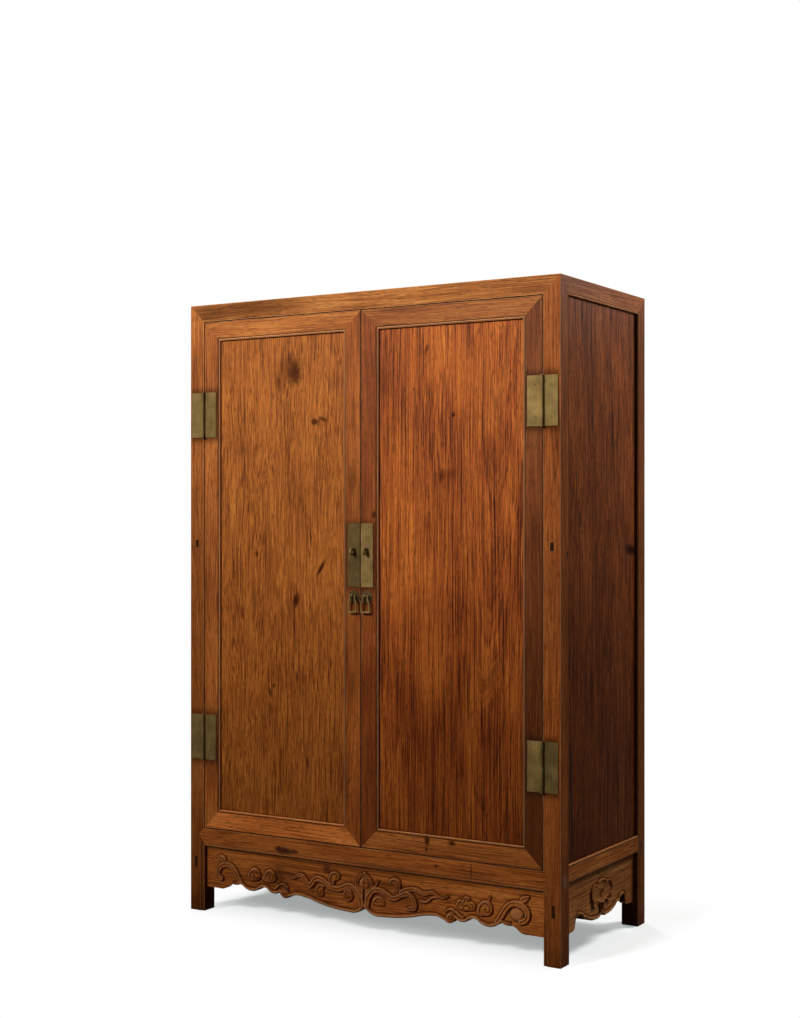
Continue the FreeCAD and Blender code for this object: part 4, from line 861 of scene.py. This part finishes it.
class CABINET_PG_stage(bpy.types.PropertyGroup):
    """Light and floor."""

    key_power: bpy.props.FloatProperty(
        name="Key light", description="Power of the soft spot before the left front", unit="POWER",
        min=0.0, max=40000.0, default=6850.0)
    side_power: bpy.props.FloatProperty(
        name="Side light", description="Power of the soft spot behind the right side", unit="POWER",
        min=0.0, max=2000.0, default=200.0)
    back_power: bpy.props.FloatProperty(
        name="Back light", description="Power of the soft light behind the left corner", unit="POWER",
        min=0.0, max=500.0, default=18.0)
    ambient: bpy.props.FloatProperty(
        name="Room light", description="Strength of the light from all round", min=0.0, max=2.0, default=0.03)
    shadow_tone: bpy.props.FloatProperty(
        name="Shadow tone", description="How bright the floor is shown where no light reaches it",
        subtype="FACTOR", min=0.0, max=1.0, default=0.37)


# Operators

# Which way the grain runs in each wooden node.
FRAME_GRAIN = {
    **{f"post_{end}_{side}": "Z" for end in ("front", "back") for side in SIDES},
    **{f"{level}_rail_{end}": "X" for level in ("top", "bottom", "shelf") for end in ("front", "back")},
    **{f"{level}_rail_{side}": "Y" for level in ("top", "bottom", "shelf") for side in SIDES},
    "apron_back": "X",
}
DOOR_GRAIN = {
    f"door_{side}_{part}": grain for side in SIDES
    for part, grain in (("hinge_stile", "Z"), ("meeting_stile", "Z"), ("top_rail", "X"), ("bottom_rail", "X"))
}
INNER_GRAIN = {
    "floor_panel": "X", "floor_battens": "Y", "shelf_panel": "X", "shelf_battens": "Y", "top_battens": "Y",
    "side_battens": "Y", "back_panel_upper": "X", "back_panel_lower": "X", "back_battens": "Z",
    "door_left_battens": "X", "door_right_battens": "X",
}
# How much lighter, darker or redder a board is than its wood, partly its own tone and partly painted light,
# which makes boards low on the front and on the sides lighter where less light reaches them: factors of its
# red, green and blue.
TINTS_AND_PAINTED_LIGHT = {
    "top_rail_front": (1.08, 1.24, 1.36), "post_front_left": (1.12, 1.12, 1.1),
    "post_front_right": (0.92, 0.84, 0.82),
    "post_back_right": (0.8, 0.78, 0.82), "door_left_top_rail": (1.1, 1.14, 1.05),
    "door_right_top_rail": (0.87, 0.88, 0.9),
    "door_left_bottom_rail": (1.9, 1.85, 1.8), "door_left_meeting_stile": (1.0, 0.9, 0.78),
    "door_left_hinge_stile": (1.12, 1.08, 1.0), "door_right_meeting_stile": (0.7, 0.55, 0.5),
    "door_right_hinge_stile": (0.56, 0.48, 0.48), "door_right_bottom_rail": (1.2, 1.2, 1.2),
    "bottom_rail_front": (1.28, 1.22, 1.15), "bottom_rail_right": (1.7, 1.8, 1.9),
    "apron_front": (1.45, 1.45, 1.35), "apron_right": (1.75, 2.2, 3.0), "apron_left": (1.75, 2.2, 3.0),
}
FRONT_BOARDS = ("bottom_rail_front", "apron_front", *DOOR_GRAIN)


def finish_woods(grains, wood):
    """Gives each node its own board of that wood, so that no two have the same figure."""
    for order, (node, grain) in enumerate(grains.items()):
        finish_node(node, rosewood(node, wood, grain, 1 + order + len(node) * SEED_BY_NAME))


class CABINET_OT_finish_frame(bpy.types.Operator):
    """Finish the posts, rails and plain back apron"""

    bl_idname = "cabinet.finish_frame"
    bl_label = "Finish the frame"

    def execute(self, context):
        finish_woods(FRAME_GRAIN, "frame")
        return {"FINISHED"}


class CABINET_OT_finish_doors(bpy.types.Operator):
    """Finish the door frames and their two matched but unlike panels"""

    bl_idname = "cabinet.finish_doors"
    bl_label = "Finish the doors"

    def execute(self, context):
        finish_woods(DOOR_GRAIN, "frame")
        finish_woods({"door_left_panel": "Z"}, "left_panel")
        finish_woods({"door_right_panel": "Z"}, "right_panel")
        return {"FINISHED"}


class CABINET_OT_finish_outer_panels(bpy.types.Operator):
    """Finish the side panels and the top"""

    bl_idname = "cabinet.finish_outer_panels"
    bl_label = "Finish the outer panels"

    def execute(self, context):
        finish_woods({"side_panel_left": "Z", "side_panel_right": "Z", "top_panel": "X"}, "outer_panel")
        return {"FINISHED"}


class CABINET_OT_finish_inside(bpy.types.Operator):
    """Finish the floor, shelf, back and battens"""

    bl_idname = "cabinet.finish_inside"
    bl_label = "Finish the inside"

    def execute(self, context):
        finish_woods(INNER_GRAIN, "inner")
        return {"FINISHED"}


class CABINET_OT_carve_front_apron(bpy.types.Operator):
    """Carve the front apron with scrolls, clouds and a bud"""

    bl_idname = "cabinet.carve_front_apron"
    bl_label = "Carve the front apron"

    def execute(self, context):
        low, high = (np.array(corner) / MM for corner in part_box("apron_front"))
        reach = -(np.array(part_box("post_front_left")[1]) / MM)[0]
        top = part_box("bottom_rail_front")[0][2] / MM
        edge = scalloped_edge(FRONT_SCALLOPS, reach)
        along, up = apron_grid(edge, top, reach, *FRONT_GRID)
        relief, measures = carve_relief(along, up, edge, FRONT_SCROLLS, FRONT_SWELLINGS, FRONT_GROOVES,
                                        context.scene.cabinet_carving, FRONT_BEAD)
        wood = rosewood("apron_front", "frame", "X", FRONT_SEED, carved=True)
        tenons = ((-reach - FRONT_STUB, TENON_LAP - reach), (reach - TENON_LAP, reach + FRONT_STUB))
        piece = carved_board("apron_front_carved", along, up, relief, measures, low[1] - high[1], tenons,
                             lambda a, o, u: np.stack([a, low[1] - o, u], -1), False, wood)
        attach(piece, "carcass")
        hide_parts("apron_front")
        return {"FINISHED"}


class CABINET_OT_carve_side_aprons(bpy.types.Operator):
    """Carve the side aprons with a cloud medallion"""

    bl_idname = "cabinet.carve_side_aprons"
    bl_label = "Carve the side aprons"

    def execute(self, context):
        for side, sign in SIDES.items():
            node = f"apron_{side}"
            low, high = (np.array(corner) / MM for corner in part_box(node))
            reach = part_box("post_back_left")[0][1] / MM - SIDE_MIDDLE
            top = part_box(f"bottom_rail_{side}")[0][2] / MM
            edge = scalloped_edge(SIDE_SCALLOPS, reach)
            along, up = apron_grid(edge, top, reach, *SIDE_GRID)
            outline = [*MEDALLION, *[(-a, z) for a, z in MEDALLION[:0:-1]]]
            ring = [(RING_RADIUS * math.cos(t), RING_UP + RING_RADIUS * math.sin(t))
                    for t in np.linspace(0, 2 * math.pi, RING_POINTS)]
            scrolls = (
                Scroll(2.2, 2.2, 5.2, 1, [*outline, outline[0]]),
                Scroll(1.8, 1.8, 4.6, 1, ring),
                *[Scroll(2.4, 2.0, 5.0, 1, [(s * a, z) for a, z in STEM]) for s in SIDES.values()],
            )
            swellings = (Swelling(2.6, 5.0, outline),)
            relief, measures = carve_relief(along, up, edge, scrolls, swellings, (),
                                            context.scene.cabinet_carving, SIDE_BEAD)
            wood = rosewood(node, "frame", "Y", SIDE_SEED + sign, carved=True)
            face, back = (low[0], high[0]) if sign < 0 else (high[0], low[0])
            tenons = ((low[1] - SIDE_MIDDLE, TENON_LAP - reach), (reach - TENON_LAP, high[1] - SIDE_MIDDLE))
            piece = carved_board(
                f"apron_{side}_carved", along, up, relief, measures, -abs(back - face), tenons,
                lambda a, o, u: np.stack([face + sign * o, SIDE_MIDDLE + a, u], -1), sign < 0, wood)
            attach(piece, "carcass")
            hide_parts(node)
        return {"FINISHED"}


def shaded(colours, share):
    """The rubbed and the tarnished brass, both darkened to that share."""
    return [[share * c for c in tone] for tone in (colours.brass, colours.tarnish)]


class CABINET_OT_finish_brasses(bpy.types.Operator):
    """Finish the hinges, lock plates and lugs"""

    bl_idname = "cabinet.finish_brasses"
    bl_label = "Finish the brasses"

    def execute(self, context):
        colours = context.scene.cabinet_brasses
        bright = old_brass("old_brass_right", colours.brass, colours.tarnish)
        dull = old_brass("old_brass_left", *shaded(colours, 0.7), low_tone=-0.05)
        dark = old_brass("old_brass_lock_left", *shaded(colours, 0.5))
        worn = old_brass("old_brass_post_right", *shaded(colours, 0.84), low_tone=-0.2)
        finishes = {
            "hinge_post_leaves_right": worn, "hinge_door_leaves_right": bright, "hinge_pins": bright,
            "hinge_post_leaves_left": dull, "hinge_door_leaves_left": dull, "lock_plate_left": dark,
            "lock_plate_right": bright, "lock_lug_left": bright, "lock_lug_right": bright,
        }
        for node, material in finishes.items():
            finish_node(node, material)
        return {"FINISHED"}


class CABINET_OT_finish_pulls(bpy.types.Operator):
    """Finish the pulls with their rosettes and staples"""

    bl_idname = "cabinet.finish_pulls"
    bl_label = "Finish the pulls"

    def execute(self, context):
        colours = context.scene.cabinet_brasses
        dark = old_brass("old_bronze_rosettes", colours.bronze, [0.5 * c for c in colours.bronze],
                         gloss=0.5)
        bright = old_brass("old_brass_pulls", colours.brass, colours.tarnish, gloss=0.36)
        for side in SIDES:
            finish_node(f"pull_rosette_{side}", dark)
            finish_node(f"pull_staple_{side}", bright)
            finish_node(f"pull_drop_{side}", bright)
        return {"FINISHED"}


# A nail's head: how many sides and rings it has, and its height as a share of its width.
NAIL_SIDES, NAIL_RINGS, NAIL_RISE = 14, 4, 0.2
# The front faces of the hinge leaves and lock plates, and where their nails are: so far from the hinge's pin
# towards the door and the post, above and below a hinge's middle, and in from a lock plate's ends.
LEAF_FACE, PLATE_FACE = -246.0, -245.8
DOOR_NAIL, POST_NAIL, HINGE_NAIL, PLATE_NAIL = 20, 23, 38, 14.5


def nail_heads(name, places, width, material):
    """Domed nail heads on plates that face the front: each is a profile that falls by a quarter round from
    its crown to its rim, turned about the nail's own line."""
    turns = np.linspace(0, 2 * np.pi, NAIL_SIDES, endpoint=False)
    fall = np.linspace(0, 1, NAIL_RINGS + 1)[1:]
    radius = width / 2 * np.sin(fall * np.pi / 2)
    rise = width * NAIL_RISE * np.cos(fall * np.pi / 2)
    shell = np.stack([radius[:, None] * np.cos(turns), np.repeat(-rise[:, None], NAIL_SIDES, 1),
                      radius[:, None] * np.sin(turns)], -1).reshape(-1, 3)
    one = np.vstack([[(0, -width * NAIL_RISE, 0)], shell])
    k = np.arange(NAIL_SIDES)
    n = (k + 1) % NAIL_SIDES
    crown = np.stack([np.zeros(NAIL_SIDES, int), 1 + k, 1 + n], -1).tolist()
    inner = 1 + np.arange(NAIL_RINGS - 1)[:, None] * NAIL_SIDES
    outer = inner + NAIL_SIDES
    sides = np.stack([inner + k, outer + k, outer + n, inner + n], -1).reshape(-1, 4).tolist()
    rim = [(1 + (NAIL_RINGS - 1) * NAIL_SIDES + k).tolist()[::-1]]
    faces = [*crown, *sides, *rim]
    points = np.vstack([one + np.array(place) for place in places]) * MM
    every = [[v + start * len(one) for v in face] for start in range(len(places)) for face in faces]
    return make_piece(name, points, every, material)


class CABINET_OT_drive_nails(bpy.types.Operator):
    """Drive the nails of the hinges and lock plates"""

    bl_idname = "cabinet.drive_nails"
    bl_label = "Drive the nails"

    def execute(self, context):
        colours = context.scene.cabinet_brasses
        width = colours.nail_width / MM
        dark = old_brass("old_brass_nails", [0.45 * c for c in colours.brass],
                         [0.5 * c for c in colours.tarnish])
        heights = [level + rise for level in HINGE_LEVELS for rise in (-HINGE_NAIL, HINGE_NAIL)]
        for side, sign in SIDES.items():
            leaves = [(sign * (HINGE_X - DOOR_NAIL), LEAF_FACE, z) for z in heights]
            low, high = (np.array(corner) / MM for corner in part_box(f"lock_plate_{side}"))
            plate = [((low[0] + high[0]) / 2, PLATE_FACE, z)
                     for z in (high[2] - PLATE_NAIL, low[2] + PLATE_NAIL)]
            door = nail_heads(f"nails_door_{side}", leaves + plate, width, dark)
            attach(door, f"door_{side}")
            posts = [(sign * (HINGE_X + POST_NAIL), LEAF_FACE, z) for z in heights]
            post = nail_heads(f"nails_post_{side}", posts, width, dark)
            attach(post, "carcass")
        return {"FINISHED"}


# The full shadow on the floor, and over how many metres it fades to white, three times as fast sideways.
SHADOW_MIDDLE, SHADOW_HALF, SHADOW_FADE = (0.05, 0.14, 0.0), (0.56, 0.19, 1.0), 0.28
SHADOW_QUICKER = (3, 1, 1)
SHADOW_TINT = (0.93, 1.0, 0.99)
# How pale the floor is to the eye, and to the light that bounces from it, and half its width in metres.
FLOOR_SEEN, FLOOR_BOUNCE = (1.8, 1.8, 1.8), (0.08, 0.08, 0.08)
FLOOR_HALF = 30.0

# Each soft light: its kind, its place, where it points, the setting for its power, and its shape. The key
# is a distant spot whose soft edge falls across the front, so that the feet get about a quarter of the light
# of the top.
LAMPS = {
    "key_light": ("SPOT", (-2.8, -6.8, 6.0), (-0.5, -0.244, 4.4), "key_power",
                  {"spot_size": math.radians(61), "spot_blend": 1.0, "shadow_soft_size": 1.5}),
    "side_light": ("SPOT", (1.55, 1.68, 2.3), (0.56, 0.0, 2.3), "side_power",
                   {"spot_size": math.radians(160), "spot_blend": 1.0, "shadow_soft_size": 0.45}),
    "back_light": ("AREA", (-2.2, 2.6, 2.4), (-0.3, 0.2, 0.9), "back_power",
                   {"shape": "RECTANGLE", "size": 0.9, "size_y": 0.9}),
}

CAMERA_PLACE = (2.211, -3.660, 1.064)
CAMERA_YAW = 31.56
CAMERA_LENS = 56.30
CAMERA_SENSOR = 36.0
CAMERA_SHIFT_UP = 0.0111


def seen_plainly(tree):
    """1 for what is seen straight, in metal or through glass, and 0 for light that bounces about."""
    rays = add(tree, "LightPath").outputs
    seen = add(tree, "Math", {0: rays["Is Camera Ray"], 1: rays["Is Glossy Ray"]}, operation="MAXIMUM")
    seen = add(tree, "Math", {0: seen.outputs[0], 1: rays["Is Transmission Ray"]}, operation="MAXIMUM")
    return seen.outputs[0]


class CABINET_OT_set_stage(bpy.types.Operator):
    """Set the floor, the soft lights and the camera"""

    bl_idname = "cabinet.set_stage"
    bl_label = "Set the stage"

    def execute(self, context):
        scene, stage = context.scene, context.scene.cabinet_stage
        scene.view_settings.view_transform = "Standard"
        # A pale floor. What the camera sees goes over to plain white away from the cabinet, and what light
        # bounces from it is that of a mid grey, as in a dim room.
        material, tree = empty_material("pale_studio_floor")
        # How far a point of the floor lies from the part of the plan that keeps its full shadow: all but the
        # front.
        outside = add(tree, "TexCoord").outputs["Object"]
        for operation, others in (
            ("SUBTRACT", {1: SHADOW_MIDDLE}), ("ABSOLUTE", {}), ("SUBTRACT", {1: SHADOW_HALF}),
            ("MAXIMUM", {1: (0, 0, 0)}), ("MULTIPLY", {1: SHADOW_QUICKER}),
        ):
            outside = add(tree, "VectorMath", {0: outside, **others}, operation=operation).outputs[0]
        reach = add(tree, "VectorMath", {0: outside}, operation="LENGTH")
        far = add(tree, "MapRange", {"Value": reach.outputs["Value"], "From Max": SHADOW_FADE},
                  interpolation_type="SMOOTHSTEP")
        lit = add(tree, "BsdfDiffuse", {"Color": rgba(FLOOR_SEEN)})
        lift = add(tree, "Emission", {"Color": rgba(SHADOW_TINT), "Strength": stage.shadow_tone})
        near = add(tree, "AddShader", {0: lit.outputs[0], 1: lift.outputs[0]})
        white = add(tree, "Emission", {"Strength": 1.0})
        shown = add(tree, "MixShader", {0: far.outputs[0], 1: near.outputs[0], 2: white.outputs[0]})
        bounce = add(tree, "BsdfDiffuse", {"Color": rgba(FLOOR_BOUNCE)})
        surface = add(tree, "MixShader", {0: seen_plainly(tree), 1: bounce.outputs[0], 2: shown.outputs[0]})
        add(tree, "OutputMaterial", {"Surface": surface.outputs[0]})
        corners = [(x * FLOOR_HALF, y * FLOOR_HALF, 0) for x, y in ((-1, -1), (1, -1), (1, 1), (-1, 1))]
        floor = make_piece("studio_floor", corners, [(0, 1, 2, 3)], material)

        world = bpy.data.worlds.new("studio_room")
        scene.world = world
        world.use_nodes = True
        tree = world.node_tree
        tree.nodes.clear()
        room = add(tree, "Background", {"Color": (1, 1, 1, 1), "Strength": stage.ambient})
        backdrop = add(tree, "Background", {"Color": (1, 1, 1, 1), "Strength": 1.0})
        mixed = add(tree, "MixShader", {0: seen_plainly(tree), 1: room.outputs[0], 2: backdrop.outputs[0]})
        add(tree, "OutputWorld", {"Surface": mixed.outputs[0]})

        for name, (kind, start, aim, power, shape) in LAMPS.items():
            lamp = bpy.data.lights.new(name, kind)
            lamp.energy = getattr(stage, power)
            for key, value in shape.items():
                setattr(lamp, key, value)
            light = bpy.data.objects.new(name, lamp)
            light.location = start
            towards = np.array(aim) - np.array(start)
            level = math.hypot(towards[0], towards[1])
            light.rotation_euler = (math.atan2(level, -towards[2]), 0.0, math.atan2(-towards[0], towards[1]))
            scene.collection.objects.link(light)

        view = bpy.data.cameras.new("camera")
        view.lens, view.sensor_width, view.shift_y = CAMERA_LENS, CAMERA_SENSOR, CAMERA_SHIFT_UP
        camera = bpy.data.objects.new("camera", view)
        camera.location = CAMERA_PLACE
        camera.rotation_euler = (math.radians(90), 0.0, math.radians(CAMERA_YAW))
        scene.collection.objects.link(camera)
        scene.camera = camera
        return {"FINISHED"}


OPERATORS = (
    CABINET_OT_finish_frame, CABINET_OT_finish_doors, CABINET_OT_finish_outer_panels,
    CABINET_OT_finish_inside, CABINET_OT_carve_front_apron, CABINET_OT_carve_side_aprons,
    CABINET_OT_finish_brasses, CABINET_OT_finish_pulls, CABINET_OT_drive_nails, CABINET_OT_set_stage,
)
SETTINGS = {
    "cabinet_woods": CABINET_PG_woods, "cabinet_brasses": CABINET_PG_brasses,
    "cabinet_carving": CABINET_PG_carving, "cabinet_stage": CABINET_PG_stage,
}


class CABINET_PT_sidebar(bpy.types.Panel):
    """Lists the cabinet's settings and steps"""

    bl_idname = "CABINET_PT_sidebar"
    bl_label = "Cabinet"
    bl_space_type = "VIEW_3D"
    bl_region_type = "UI"
    bl_category = "Cabinet"

    def draw(self, context):
        for name in SETTINGS:
            group = getattr(context.scene, name)
            box = self.layout.box()
            for key in group.__annotations__:
                box.prop(group, key)
        for step in OPERATORS:
            self.layout.operator(step.bl_idname)


def register():
    for group in SETTINGS.values():
        bpy.utils.register_class(group)
    for name, group in SETTINGS.items():
        setattr(bpy.types.Scene, name, bpy.props.PointerProperty(type=group))
    for step in (*OPERATORS, CABINET_PT_sidebar):
        bpy.utils.register_class(step)


def unregister():
    for step in (CABINET_PT_sidebar, *reversed(OPERATORS)):
        bpy.utils.unregister_class(step)
    for name in SETTINGS:
        delattr(bpy.types.Scene, name)
    for group in SETTINGS.values():
        bpy.utils.unregister_class(group)


def main():
    register()
    for step in OPERATORS:
        family, name = step.bl_idname.split(".")
        getattr(getattr(bpy.ops, family), name)()


if __name__ == "__main__":
    main()
